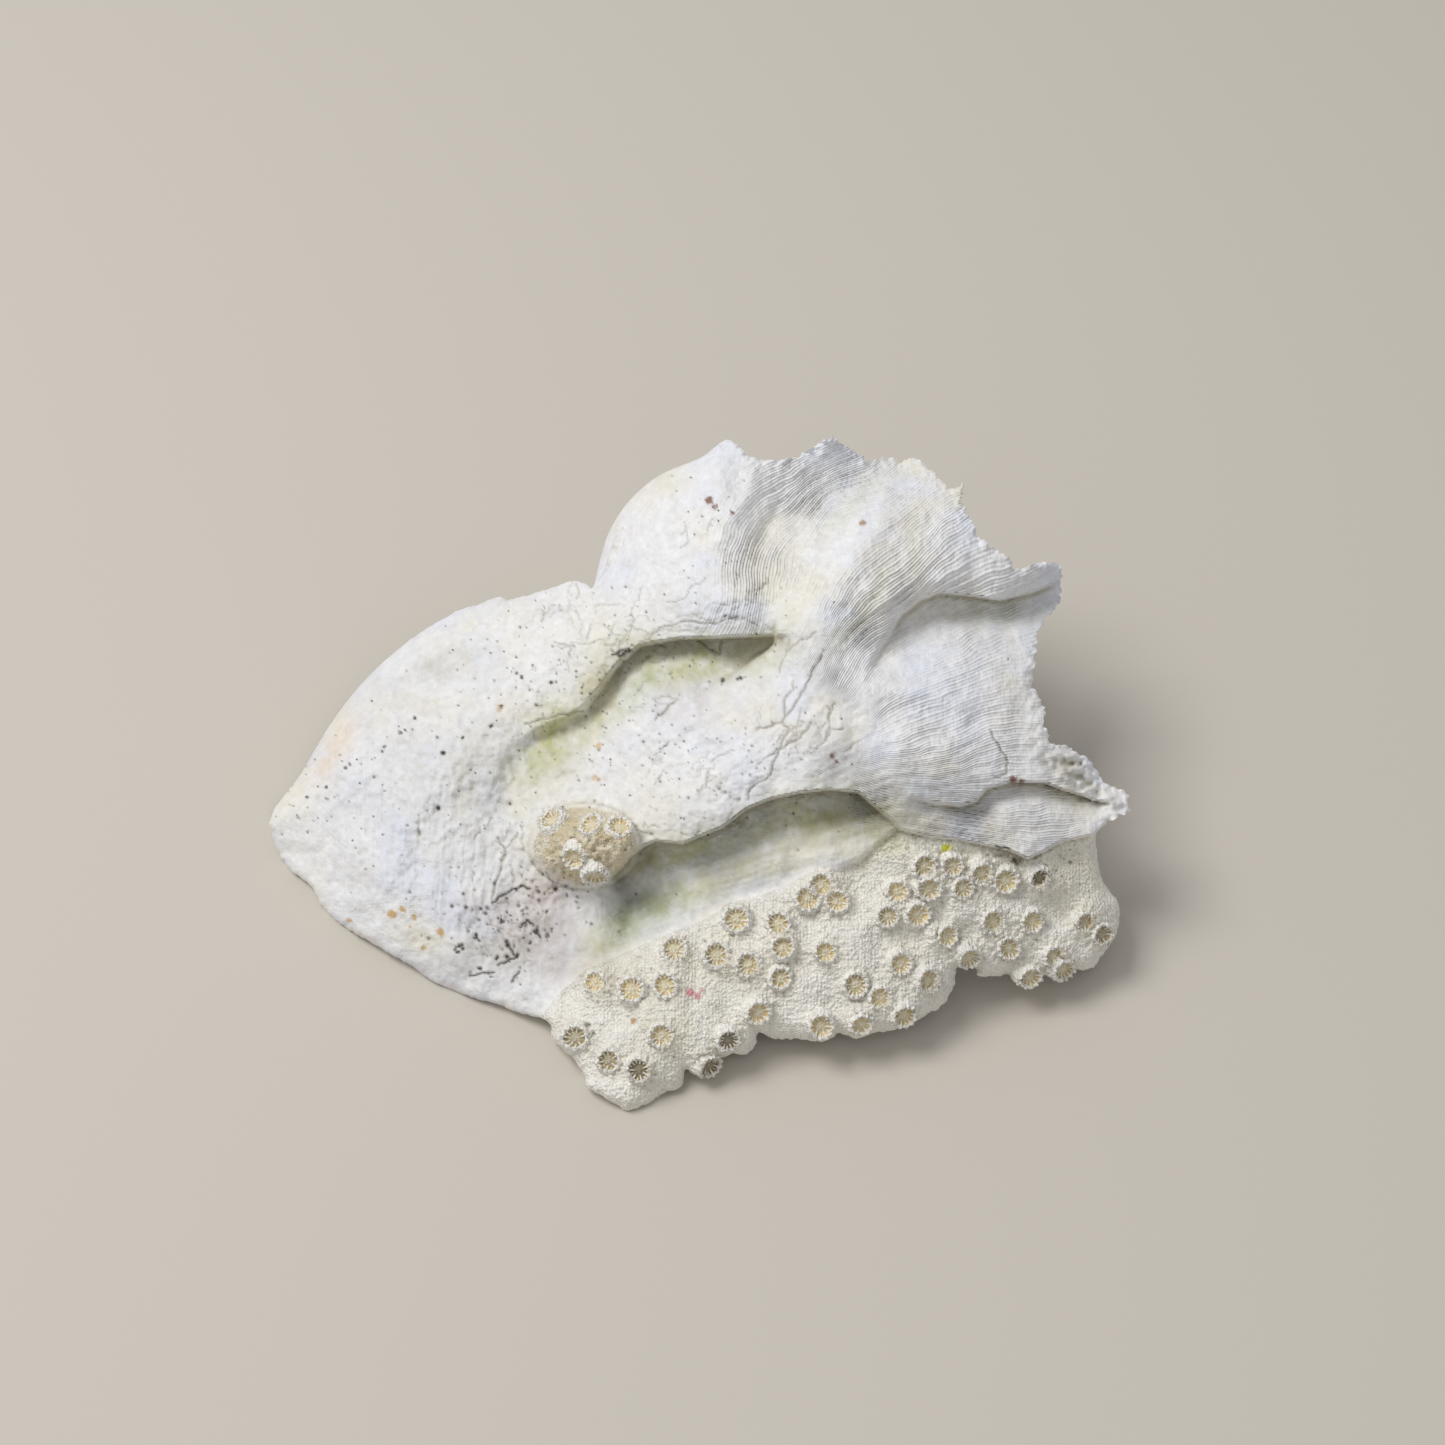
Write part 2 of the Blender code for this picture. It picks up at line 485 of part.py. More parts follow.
def hidden_places():
    """Where the cups of the living side stand, under the plate, and which way they look."""
    places = []
    for (x0, y0), (x1, y1), count in HIDDEN_ROWS:
        for k in range(count):
            t = (k + 0.5) / count
            wave = 8 * math.sin(3.1 * k)
            place, normal = surface_frame(x0 + t * (x1 - x0), y0 + t * (y1 - y0) + wave)
            place = place - normal * (PLATE_THICKNESS + 0.5)
            if out_of_sight(place):
                places.append((place, -normal))
    return places


def cup_meshes():
    """Every cup: on the frond, on the knob and on the hidden living side."""
    meshes = []
    for number, (px, py) in enumerate(FROND_CUPS + KNOB_CUPS):
        place, normal = surface_frame(px, py)
        scale = 0.92 + 0.08 * math.sin(number * 2.4)
        meshes.append(cup_mesh(place, normal, scale))
    for place, axis in hidden_places():
        meshes.append(cup_mesh(place, axis, 0.95))
    return meshes


def fused(meshes, voxel):
    """One closed mesh around all of the given ones."""
    bm = bmesh.new()
    for mesh in meshes:
        bm.from_mesh(mesh)
    bmesh.ops.recalc_face_normals(bm, faces=bm.faces)
    joined = bpy.data.meshes.new("joined")
    bm.to_mesh(joined)
    bm.free()
    helper = bpy.data.objects.new("joined", joined)
    bpy.context.scene.collection.objects.link(helper)
    remesh = helper.modifiers.new("remesh", "REMESH")
    remesh.mode = "VOXEL"
    remesh.voxel_size = voxel
    bpy.context.view_layer.update()
    graph = bpy.context.evaluated_depsgraph_get()
    result = bpy.data.meshes.new_from_object(helper.evaluated_get(graph))
    bpy.data.objects.remove(helper)
    return result


def largest_body(mesh):
    """Removes loose crumbs that are not joined to the main body."""
    bm = bmesh.new()
    bm.from_mesh(mesh)
    bm.verts.ensure_lookup_table()
    seen_verts = set()
    bodies = []
    for start in bm.verts:
        if start.index in seen_verts:
            continue
        body = []
        stack = [start]
        seen_verts.add(start.index)
        while stack:
            vert = stack.pop()
            body.append(vert)
            for edge in vert.link_edges:
                other = edge.other_vert(vert)
                if other.index not in seen_verts:
                    seen_verts.add(other.index)
                    stack.append(other)
        bodies.append(body)
    bodies.sort(key=len, reverse=True)
    for body in bodies[1:]:
        bmesh.ops.delete(bm, geom=body, context="VERTS")
    bm.to_mesh(mesh)
    bm.free()


def coral_material():
    material = bpy.data.materials.new("bleached_skeleton")
    material.use_nodes = True
    shader = material.node_tree.nodes["Principled BSDF"]
    shader.inputs["Base Color"].default_value = (0.86, 0.85, 0.80, 1)
    shader.inputs["Roughness"].default_value = 0.85
    shader.inputs["Metallic"].default_value = 0.0
    return material


def table_cutter():
    """A block under the table level, which cuts the coral flat where it rests."""
    bm = bmesh.new()
    bmesh.ops.create_cube(bm, size=1.0, matrix=Matrix.Diagonal((0.3, 0.3, 0.05, 1)))
    mesh = bpy.data.meshes.new("table_cutter")
    bm.to_mesh(mesh)
    bm.free()
    cutter = bpy.data.objects.new("table_cutter", mesh)
    cutter.location = (0, 0, -0.025)
    cutter.hide_render = True
    cutter.display_type = "WIRE"
    bpy.context.scene.collection.objects.link(cutter)
    return cutter


def main():
    for old in list(bpy.data.objects):
        bpy.data.objects.remove(old)
    mesh = fused([relief_mesh(), skirt_mesh()] + cup_meshes(), VOXEL)
    largest_body(mesh)
    mesh.transform(Matrix.Scale(0.001, 4) @ Matrix.Translation((0, 0, -TABLE_CUT)))
    mesh.name = "coral"
    coral = bpy.data.objects.new("coral", mesh)
    bpy.context.scene.collection.objects.link(coral)
    coral.data.materials.clear()
    coral.data.materials.append(coral_material())
    thin = coral.modifiers.new("fewer faces", "DECIMATE")
    thin.ratio = TRIANGLES / (2 * len(mesh.polygons))
    flat = coral.modifiers.new("flat rest", "BOOLEAN")
    flat.operation = "DIFFERENCE"
    flat.object = table_cutter()


main()
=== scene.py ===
"""The look of a bleached plate of cabbage coral, around its plain solid.

The surface is a relief along the lines of sight of the photograph: for each pixel it has a front height and
a back height in millimetres above the table. Growth lines, cracks, grains and cups are added to that relief.
"""

import math

import bpy
import numpy as np
from mathutils import Matrix, Vector


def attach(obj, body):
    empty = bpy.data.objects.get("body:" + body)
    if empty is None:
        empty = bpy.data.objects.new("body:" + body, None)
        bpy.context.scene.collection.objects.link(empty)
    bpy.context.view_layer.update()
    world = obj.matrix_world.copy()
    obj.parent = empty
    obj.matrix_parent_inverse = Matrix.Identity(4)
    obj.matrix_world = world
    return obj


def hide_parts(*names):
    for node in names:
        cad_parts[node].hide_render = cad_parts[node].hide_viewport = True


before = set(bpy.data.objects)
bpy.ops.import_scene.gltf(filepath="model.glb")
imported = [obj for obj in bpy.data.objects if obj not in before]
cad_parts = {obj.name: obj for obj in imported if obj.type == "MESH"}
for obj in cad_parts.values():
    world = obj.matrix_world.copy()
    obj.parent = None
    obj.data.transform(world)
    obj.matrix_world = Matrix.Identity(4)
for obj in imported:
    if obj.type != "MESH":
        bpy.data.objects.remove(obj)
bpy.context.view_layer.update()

# The line of sight
VIEW_ELEVATION = math.radians(48)
PIXEL = 0.17  # millimetres that one pixel spans at the aim
FRAME_PIXELS = 1445
EYE_DISTANCE = 545.0
FRAME_CENTRE = 722.5
AIM = np.array((5.5, 29.2, 0.0))
FORWARD = np.array((0.0, math.cos(VIEW_ELEVATION), -math.sin(VIEW_ELEVATION)))
UPWARD = np.array((0.0, math.sin(VIEW_ELEVATION), math.cos(VIEW_ELEVATION)))
EYE = AIM - EYE_DISTANCE * FORWARD

# Driving sizes in millimetres, those of the solid
PLATE_THICKNESS = 2.6
MARGIN_THICKNESS = 1.1
MARGIN_TAPER = 10.0
SKIRT_THICKNESS = 2.4
SKIRT_REACH = 9.0
SKIRT_GRID = (110, 64)
SKIRT_TUCK = 0.9  # how far its upper edge hides inside the limb
SKIRT_FLUTE = 1.5  # how deep the skirt is waved
SKIRT_FLUTE_LENGTH = 2.4  # in points of the limb
BODY_CENTRE = np.array((10.0, -10.0, 10.0))  # the normals of the skirt point away from it
CUP_RADIUS = 2.1
KNOB_HEIGHT = 4.6
LIP_FADE = 12.0  # pixels past its end over which a lip dies away
TABLE_CUT = 0.6

# The relief's grid, in pixels of the photograph, and the pixels that it spans
GRID_PIXELS = 1.5
RELIEF_LEFT = 255.0
RELIEF_RIGHT = 1145.0
RELIEF_TOP = 425.0
RELIEF_BOTTOM = 1125.0
LOBE_END = 560  # pixel x where the lobe's piece meets that of the ridges
RIDGES_END = 800  # pixel x where the ridges' piece meets the fan's
TORN_RADIUS = 0.9  # millimetres: an outline that rolls away less than this is the torn margin
ROLLED_RADIUS = 3.5  # one that rolls away more than this is smooth
FROND_RADIUS = 3.0  # the frond's edge rolls away by this
THINNEST = 0.3
FLOW_HEADING = math.radians(-18)  # of the streaks in the lower hollow

# How far the edges stray, and the points along them, in pixels
TORN_TOOTH = 2.2
FROND_TOOTH = 1.2
WORN_TOOTH = 0.7
TORN_STEP = 2.6
PLAIN_STEP = 3.6
FINE_REACH = 11  # pixels from the outline within which its fine form matters

# The outline: pixel x, pixel y and the radius in millimetres with which the edge rolls away
OUTLINE = [
    (270, 820, 2.0), (283, 797, 3.0), (300, 775, 4.5), (330, 725, 5.0), (365, 680, 4.0), (410, 640, 2.5),
    (455, 612, 2.5), (480, 604, 2.5), (500, 596, 2.5), (508, 600, 2.5), (545, 590, 2.0), (570, 582, 2.0),
    (585, 583, 2.0), (593, 588, 2.0), (600, 560, 7.0), (610, 530, 9.0), (630, 500, 9.0), (660, 475, 8.0),
    (700, 458, 5.0), (716, 446, 1.0), (725, 441, 0.4), (735, 443, 0.4), (745, 455, 0.4), (764, 461, 0.4),
    (785, 461, 0.4), (800, 455, 0.4), (820, 443, 0.4), (833, 436, 0.4), (845, 447, 0.4), (870, 462, 0.4),
    (890, 457, 0.4), (902, 462, 0.4), (915, 457, 0.4), (925, 465, 0.4), (945, 483, 0.4), (950, 490, 0.4),
    (965, 483, 0.4), (960, 500, 0.4), (972, 520, 0.4), (975, 535, 0.4), (995, 550, 0.4), (1010, 558, 0.4),
    (1015, 570, 0.4), (1040, 563, 0.4), (1062, 563, 0.4), (1060, 600, 0.4), (1045, 620, 0.4),
    (1038, 630, 0.4), (1035, 660, 0.4), (1032, 685, 0.4), (1045, 710, 0.4), (1043, 722, 0.4),
    (1051, 743, 0.4), (1066, 747, 0.4), (1076, 751, 0.4), (1089, 761, 0.4), (1098, 773, 0.4),
    (1101, 779, 0.4), (1114, 788, 0.4), (1121, 788, 0.4), (1127, 793, 0.4), (1130, 810, 0.4),
    (1127, 813, 0.4), (1116, 816, 0.4), (1106, 824, 0.6), (1096, 834, 1.0), (1097, 850, 2.0),
    (1101, 877, 2.5), (1111, 893, 2.5), (1119, 905, 2.5), (1117, 932, 2.5), (1101, 957, 3.0),
    (1090, 969, 3.0), (1067, 969, 3.0), (1062, 978, 3.0), (1042, 975, 3.0), (1023, 980, 3.0),
    (1007, 975, 3.0), (980, 977, 3.0), (975, 968, 3.0), (957, 967, 3.0), (954, 987, 3.0), (941, 1006, 3.0),
    (918, 1019, 3.0), (895, 1030, 3.0), (872, 1033, 3.0), (856, 1039, 3.0), (840, 1033, 3.0),
    (825, 1041, 3.0), (802, 1039, 3.0), (772, 1039, 3.0), (758, 1031, 3.0), (756, 1042, 3.0),
    (747, 1054, 3.0), (733, 1054, 3.0), (717, 1061, 3.0), (694, 1070, 3.0), (686, 1069, 3.0),
    (681, 1087, 3.0), (664, 1093, 3.0), (653, 1100, 3.0), (639, 1108, 2.5), (625, 1112, 2.5),
    (616, 1104, 2.0), (587, 1087, 2.0), (585, 1076, 2.0), (571, 1056, 2.0), (553, 1040, 2.0),
    (549, 1022, 1.5), (520, 1013, 1.5), (500, 1005, 1.5), (475, 998, 1.5), (440, 985, 1.5),
    (410, 965, 1.5), (380, 948, 1.5), (350, 930, 1.5), (325, 910, 1.5), (310, 885, 1.5), (290, 870, 1.5),
    (275, 845, 1.5),
]

# Heights of the plate: pixel x, pixel y, millimetres above the table
LOBE = [
    (275, 820, 6), (300, 778, 8), (330, 730, 10), (365, 686, 12), (410, 646, 15), (455, 618, 18),
    (500, 604, 22), (545, 596, 26), (588, 592, 30), (290, 808, 8), (340, 768, 13.5), (400, 737, 18.5),
    (445, 712, 21), (500, 690, 24.5), (420, 690, 18.5), (470, 655, 21.5), (520, 640, 26), (560, 620, 30),
    (285, 840, 4), (330, 830, 9), (380, 800, 14.5), (430, 780, 18), (470, 760, 20), (310, 875, 3.5),
    (350, 860, 9), (400, 850, 13.5), (450, 840, 15.5), (500, 830, 16.5), (540, 830, 18), (350, 915, 4),
    (400, 905, 9.5), (450, 900, 11.5), (500, 900, 11.5), (550, 905, 11.5), (410, 955, 4), (460, 950, 7.5),
    (510, 955, 8), (550, 960, 8.5), (475, 992, 3), (520, 1003, 4), (552, 1015, 5),
]
RIDGES = [
    (505, 745, 22), (530, 722, 25), (560, 706, 27.5), (585, 690, 30), (610, 655, 35), (640, 634, 38),
    (680, 625, 41.5), (740, 622, 45), (775, 615, 46), (560, 790, 20), (600, 770, 24), (650, 745, 30),
    (700, 715, 35.5), (735, 697, 39), (780, 665, 43.5), (600, 800, 23), (650, 800, 28.5), (700, 775, 33),
    (750, 745, 37.5), (800, 705, 41.5), (625, 850, 23), (650, 838, 26), (690, 825, 29.5), (740, 802, 33),
    (800, 785, 36), (855, 783, 36), (885, 800, 34), (600, 900, 12), (640, 900, 14), (600, 940, 11.5),
    (660, 925, 15.5), (720, 905, 18.5), (790, 880, 21.5),
]
FAN = [
    (620, 600, 36), (650, 560, 42.5), (635, 520, 43), (680, 520, 48), (665, 485, 48), (700, 560, 48),
    (720, 480, 51), (735, 520, 50), (700, 600, 45.5), (740, 590, 48), (735, 450, 51), (772, 600, 46.5),
    (765, 560, 46.5), (785, 520, 46), (820, 490, 46.5), (860, 475, 46.5), (905, 466, 46), (785, 462, 50.5),
    (833, 442, 52), (790, 650, 46), (810, 600, 48.5), (840, 550, 49.5), (880, 510, 49.5), (930, 490, 48),
    (830, 640, 47), (860, 590, 49), (900, 550, 48.5), (950, 530, 47), (965, 500, 47), (850, 700, 42),
    (880, 650, 42.5), (915, 620, 42), (955, 612, 40), (1005, 608, 37.5), (1055, 595, 33), (900, 600, 46.5),
    (940, 580, 45.5), (1000, 585, 41.5), (1050, 570, 37), (830, 740, 40), (900, 690, 42), (960, 670, 40.5),
    (1030, 650, 36.5), (880, 750, 38.5), (950, 730, 38.5), (1030, 710, 35), (900, 790, 35.5),
    (960, 785, 34.5), (1020, 770, 33), (1050, 760, 32), (1090, 780, 27), (1125, 800, 24), (920, 825, 30),
    (980, 825, 28.5), (1040, 825, 27), (1090, 820, 25), (990, 845, 26.5), (1030, 855, 25), (1060, 840, 24.5),
]
FROND = [
    (560, 1000, 7), (600, 975, 11), (640, 950, 13.5), (700, 922, 17), (760, 895, 20), (826, 872, 22.5),
    (860, 862, 23.5), (897, 832, 27.5), (940, 845, 26), (1000, 858, 23), (1060, 850, 22), (1096, 845, 20),
    (1125, 850, 18), (570, 1030, 6), (620, 1010, 9.5), (660, 1000, 11.5), (720, 970, 14), (780, 950, 16),
    (850, 940, 17), (920, 915, 18.5), (1000, 905, 17.5), (1060, 905, 15.5), (1110, 900, 13.5),
    (600, 1070, 4.5), (640, 1060, 6.5), (625, 1105, 3), (690, 1045, 8), (740, 1020, 10), (800, 1005, 11),
    (870, 995, 11.5), (930, 970, 12.5), (1000, 945, 12.5), (1060, 945, 11), (1105, 935, 10), (690, 1068, 5),
    (760, 1045, 7), (850, 1035, 7.5), (930, 1010, 8.5), (1000, 972, 9), (1070, 970, 7.5),
]

# Lips under which the surface steps back: the reach of the step in pixels, and the line of the lip with
# pixel x, pixel y, the step in millimetres and the width of its edge in pixels. The low side is on the
# right of the line, as its points run on the picture.
LIPS = [
    # The upper hollow
    (36, [
        (478, 790, 0, 20), (495, 762, 0.8, 20), (512, 742, 1.6, 18), (532, 728, 2.2, 16),
        (556, 718, 2.8, 14), (580, 706, 3.4, 12), (598, 685, 4, 10), (618, 660, 4.5, 8),
        (640, 643, 4.8, 6), (680, 637, 5, 5), (720, 636, 5.5, 4), (748, 635, 5.5, 4), (768, 634, 4, 5),
        (778, 633, 1.5, 6), (786, 632, 0, 7)]),
    # The end of the upper hollow
    (26, [
        (777, 636, 2, 4), (776, 645, 3, 4), (770, 652, 3.5, 5), (756, 663, 3.5, 7), (736, 680, 2.5, 9),
        (714, 695, 1.3, 11), (690, 712, 0, 13)]),
    # The lower hollow
    (48, [
        (600, 885, 0, 5), (622, 866, 5, 3), (630, 856, 6.5, 2), (645, 845, 7, 2), (656, 840, 7, 2),
        (683, 843, 6.5, 2), (699, 836, 6.5, 2), (722, 827, 6.5, 2), (747, 808, 7, 2), (772, 798, 7.5, 2),
        (800, 792, 7.5, 2), (830, 789, 7.5, 2), (858, 791, 7, 3), (874, 804, 5.5, 4), (888, 815, 3.5, 5),
        (900, 824, 1, 6), (908, 832, 0, 6)]),
    # The ledge of the fan
    (22, [
        (905, 792, 0, 6), (930, 800, 1.5, 5), (960, 805, 2.2, 3), (976, 801, 2.5, 2), (987, 788, 2.8, 2),
        (1012, 781, 3, 2), (1045, 782, 3.5, 2), (1063, 789, 3, 2), (1076, 793, 2.5, 2), (1093, 799, 2, 2),
        (1115, 803, 0, 2)]),
    # The fold of the fan
    (40, [
        (850, 690, 0, 12), (880, 640, 1.5, 9), (900, 612, 2.5, 6), (920, 598, 3.2, 5), (940, 591, 3.8, 4),
        (965, 594, 4, 3), (1000, 599, 4, 3), (1030, 592, 3.5, 3), (1062, 580, 3, 3)]),
]

# Low swellings and dips: pixel x and y, half length and half width in pixels, heading in degrees and height
SWELLS = [
    (352, 762, 62, 9, -36, 0.5), (445, 765, 75, 24, -58, 1.3), (508, 805, 50, 17, -75, -1.1),
    (402, 835, 32, 10, -80, 0.7), (430, 668, 34, 20, -35, -0.7), (385, 705, 40, 24, -45, 0.6),
    (360, 850, 50, 18, 40, 0.6), (470, 905, 46, 16, 25, 0.7), (540, 650, 40, 18, -30, 0.6),
    (665, 735, 60, 22, -15, 0.8), (735, 760, 46, 16, -30, 0.6), (640, 590, 30, 16, -70, 0.7),
    (680, 520, 34, 16, -60, -0.5), (760, 540, 40, 9, -62, -0.9), (742, 505, 40, 10, -55, 0.6),
    (855, 560, 46, 16, -55, 0.7), (930, 660, 60, 16, -20, 0.6), (960, 720, 60, 14, 8, -0.5),
    (900, 745, 50, 14, -8, 0.5),
]

# Where the frond begins: pixel x, pixel y and half the width in pixels over which the plate turns into it
FROND_TOP = [
    (530, 1030, 10), (560, 992, 10), (586, 969, 10), (616, 957, 9), (659, 937, 9), (701, 921, 9),
    (735, 902, 9), (781, 888, 8), (811, 872, 7), (840, 868, 6), (860, 861, 5), (879, 843, 4), (897, 829, 2),
    (918, 834, 1.5), (935, 838, 1.5), (958, 839, 1.5), (985, 845, 1.5), (1008, 850, 1.5), (1028, 859, 1.5),
    (1045, 851, 1.5), (1063, 841, 1.5), (1095, 835, 1.5), (1140, 815, 1.5),
]

KNOB_CENTRE = (585, 846)
KNOB_RADII = (56, 43)

# Cups that face the viewer, and those on the knob: pixel x, pixel y
FROND_CUPS = [
    (737, 920), (779, 924), (783, 948), (675, 951), (717, 956), (748, 965), (825, 952), (780, 978),
    (597, 983), (633, 991), (666, 987), (757, 1011), (662, 1035), (727, 1038), (706, 1063), (577, 1039),
    (610, 1061), (639, 1070), (807, 899), (821, 885), (837, 902), (897, 891), (928, 887), (961, 887),
    (887, 916), (916, 914), (945, 935), (991, 920), (1030, 920), (1007, 946), (967, 954), (855, 984),
    (899, 963), (879, 997), (925, 980), (902, 1013), (1052, 954), (1083, 921), (1099, 933), (1004, 879),
    (1037, 877), (923, 865), (951, 865), (980, 872), (1028, 974), (1060, 966), (820, 1024), (860, 1022),
]
KNOB_CUPS = [(555, 824), (594, 828), (620, 831), (577, 855), (596, 870)]

# Cups that are darker inside, and how much darker
DARK_INSIDE_CUPS = {
    (639, 1070): 0.65, (727, 1038): 0.6, (706, 1063): 0.6, (577, 1039): 0.35, (610, 1061): 0.35,
    (1037, 877): 0.6, (1099, 933): 0.35, (1083, 921): 0.25,
}

# A cup of unit radius: radius, height and tone of each ring from its foot to its middle. The tone is 0 for
# the white wall, 1 for the tan gaps and 2 for the pale floor.
CUP_PROFILE = [
    (1.34, -0.60, 0.0), (1.20, -0.15, 0.0), (1.08, 0.22, 0.0), (1.02, 0.42, 0.0), (0.95, 0.54, 0.0),
    (0.84, 0.58, 0.0), (0.75, 0.52, 0.3), (0.70, 0.40, 0.9), (0.62, 0.28, 1.0), (0.46, 0.24, 1.3),
    (0.26, 0.28, 1.9), (0.08, 0.33, 2.0),
]
CUP_MIDDLE = 0.33
PARTITION_COUNTS = (11, 12, 13, 14)
PARTITION_OUTSIDE = 0.88
PARTITION_INSIDE = (0.20, 0.42)  # a long and a short one in turn
PARTITION_TOPS = (0.62, 0.52, 0.36, 0.24, 0.18)
PARTITION_FOOT = -0.15
HIDDEN_CUP_SCALE = 0.95

# The hidden living side: rows of cups under the plate, as pixels of the sight lines that cross them
HIDDEN_ROWS = [
    ((640, 540), (930, 520), 8), ((690, 590), (1010, 600), 8), ((830, 660), (1010, 690), 5),
    ((360, 760), (520, 660), 4), ((390, 850), (520, 790), 4), ((850, 740), (1060, 780), 5),
]

# The foot under the right end of the frond: pixel x, pixel y and radius in pixels
FOOT = (1062, 930, 27)

# The limb of the fan, from which the skirt folds down behind: pixel x, pixel y, height and share of the drop
LIMB = [
    (540, 600, 23, 0.30), (565, 592, 26, 0.55), (588, 592, 28.5, 0.85), (601, 562, 34, 1.0),
    (612, 532, 38, 1.0), (631, 503, 41.5, 1.0), (661, 478, 44.5, 1.0), (698, 462, 47, 0.85),
    (728, 450, 49, 0.45),
]


def seen(px, py, height):
    """The points at these heights on the lines of sight through these pixels."""
    across = (px - FRAME_CENTRE) * PIXEL
    rise = (FRAME_CENTRE - py) * PIXEL
    dy = EYE_DISTANCE * FORWARD[1] + rise * UPWARD[1]
    dz = EYE_DISTANCE * FORWARD[2] + rise * UPWARD[2]
    k = (height - EYE[2]) / dz
    return np.stack((EYE[0] + k * across, EYE[1] + k * dy, height + 0 * k), axis=-1)


def thin_plate(points):
    """A smooth sheet through the given heights, as a function of pixel x and y."""
    points = np.array(points, float)
    xy = points[:, :2] / 100
    count = len(points)
    square = ((xy[:, None] - xy[None]) ** 2).sum(-1)
    side = np.hstack((np.ones((count, 1)), xy))
    system = np.zeros((count + 3, count + 3))
    system[:count, :count] = square * np.log(square + 1e-12)
    system[:count, count:] = side
    system[count:, :count] = side.T
    weights = np.linalg.solve(system, np.append(points[:, 2], (0, 0, 0)))

    def height(px, py):
        x = px / 100
        y = py / 100
        total = weights[count] + weights[count + 1] * x + weights[count + 2] * y
        for (cx, cy), weight in zip(xy, weights):
            square = (x - cx) ** 2 + (y - cy) ** 2
            total = total + weight * square * np.log(square + 1e-12)
        return total
    return height


def beside(line, px, py, closed=False):
    """Distance to a line, positive on its right as drawn, with the line's columns at the nearest point."""
    line = np.array(line, float)
    if closed:
        line = np.vstack((line, line[:1]))
    best = np.full(np.shape(px), np.inf)
    sign = np.ones(np.shape(px))
    columns = np.zeros((line.shape[1],) + np.shape(px))
    for start, end in zip(line[:-1], line[1:]):
        ex, ey = end[:2] - start[:2]
        t = np.clip(((px - start[0]) * ex + (py - start[1]) * ey) / (ex * ex + ey * ey), 0, 1)
        distance = np.hypot(px - start[0] - t * ex, py - start[1] - t * ey)
        near = distance < best
        best = np.where(near, distance, best)
        sign = np.where(near, np.where(ex * (py - start[1]) > ey * (px - start[0]), 1.0, -1.0), sign)
        for k in range(len(columns)):
            columns[k] = np.where(near, start[k] + t * (end[k] - start[k]), columns[k])
    if closed:
        sign = np.where(inside(line, px, py), 1.0, -1.0)
    return best * sign, columns


def inside(line, px, py):
    """Whether each point lies inside a closed line."""
    odd = np.zeros(np.shape(px), bool)
    for start, end in zip(line[:-1], line[1:]):
        if start[1] != end[1]:
            crossing = start[0] + (py - start[1]) * (end[0] - start[0]) / (end[1] - start[1])
            odd ^= ((start[1] > py) != (end[1] > py)) & (px < crossing)
    return odd


def smooth_columns(line, px, py, softness=12.0):
    """The line's columns after x and y, averaged over the points of the line that are near."""
    total = np.zeros((len(line[0]) - 2,) + np.shape(px))
    share = np.zeros(np.shape(px))
    for x, y, *values in line:
        weight = ((px - x) ** 2 + (py - y) ** 2 + softness ** 2) ** -2.0
        share += weight
        for k, value in enumerate(values):
            total[k] += weight * value
    return total / share


def smoothstep(low, high, x):
    """0 up to low, 1 from high on, and a smooth rise between them."""
    t = np.clip((x - low) / (high - low), 0, 1)
    return t * t * (3 - 2 * t)


def crosswise(line, px, py):
    """Offset across an open line, positive on its right as drawn, and how far a place lies past its ends."""
    offset, _ = beside(line, px, py)
    past = np.zeros(np.shape(px))
    for end, inner in ((line[0], line[1]), (line[-1], line[-2])):
        ex = end[0] - inner[0]
        ey = end[1] - inner[1]
        beyond = ((px - end[0]) * ex + (py - end[1]) * ey) / math.hypot(ex, ey)
        at_end = (np.hypot(px - end[0], py - end[1]) < np.abs(offset) + 0.001) & (beyond > 0)
        sideways = np.sqrt(np.maximum(offset ** 2 - beyond ** 2, 0)) * np.sign(offset)
        offset = np.where(at_end, sideways, offset)
        past = np.where(at_end, beyond, past)
    return offset, past


def swelling(px, py, x, y, along, across, heading):
    """A soft elliptical patch, 1 at its centre."""
    turn = math.radians(heading)
    dx = px - x
    dy = py - y
    u = (dx * math.cos(turn) + dy * math.sin(turn)) / along
    v = (dy * math.cos(turn) - dx * math.sin(turn)) / across
    return np.exp(-(u * u + v * v))


plate_height = thin_plate(LOBE + RIDGES + FAN)
frond_height = thin_plate(FROND)


def frond_share(px, py):
    """How far a place belongs to the frond, from 0 to 1."""
    distance, columns = beside(FROND_TOP, px, py)
    return smoothstep(-1, 1, distance / columns[2])


def knob_share(px, py):
    """1 at the middle of the knob and 0 at its foot."""
    radius = np.hypot((px - KNOB_CENTRE[0]) / KNOB_RADII[0], (py - KNOB_CENTRE[1]) / KNOB_RADII[1])
    return np.clip(1 - radius ** 2, 0, 1)


def base_height(px, py):
    """Height of the side that faces the viewer, before its outline rolls away."""
    height = plate_height(px, py)
    for x, y, along, across, heading, rise in SWELLS:
        height = height + rise * swelling(px, py, x, y, along, across, heading)
    for reach, line in LIPS:
        offset, past = crosswise(line, px, py)
        drop, edge = smooth_columns(line, px, py)
        fall = smoothstep(0, edge, offset) * np.exp(-(np.maximum(offset, 0) / reach) ** 2)
        height = height - drop * fall * np.exp(-(past / LIP_FADE) ** 2)
    share = frond_share(px, py)
    height = height * (1 - share) + frond_height(px, py) * share
    return height + KNOB_HEIGHT * knob_share(px, py) ** 0.7


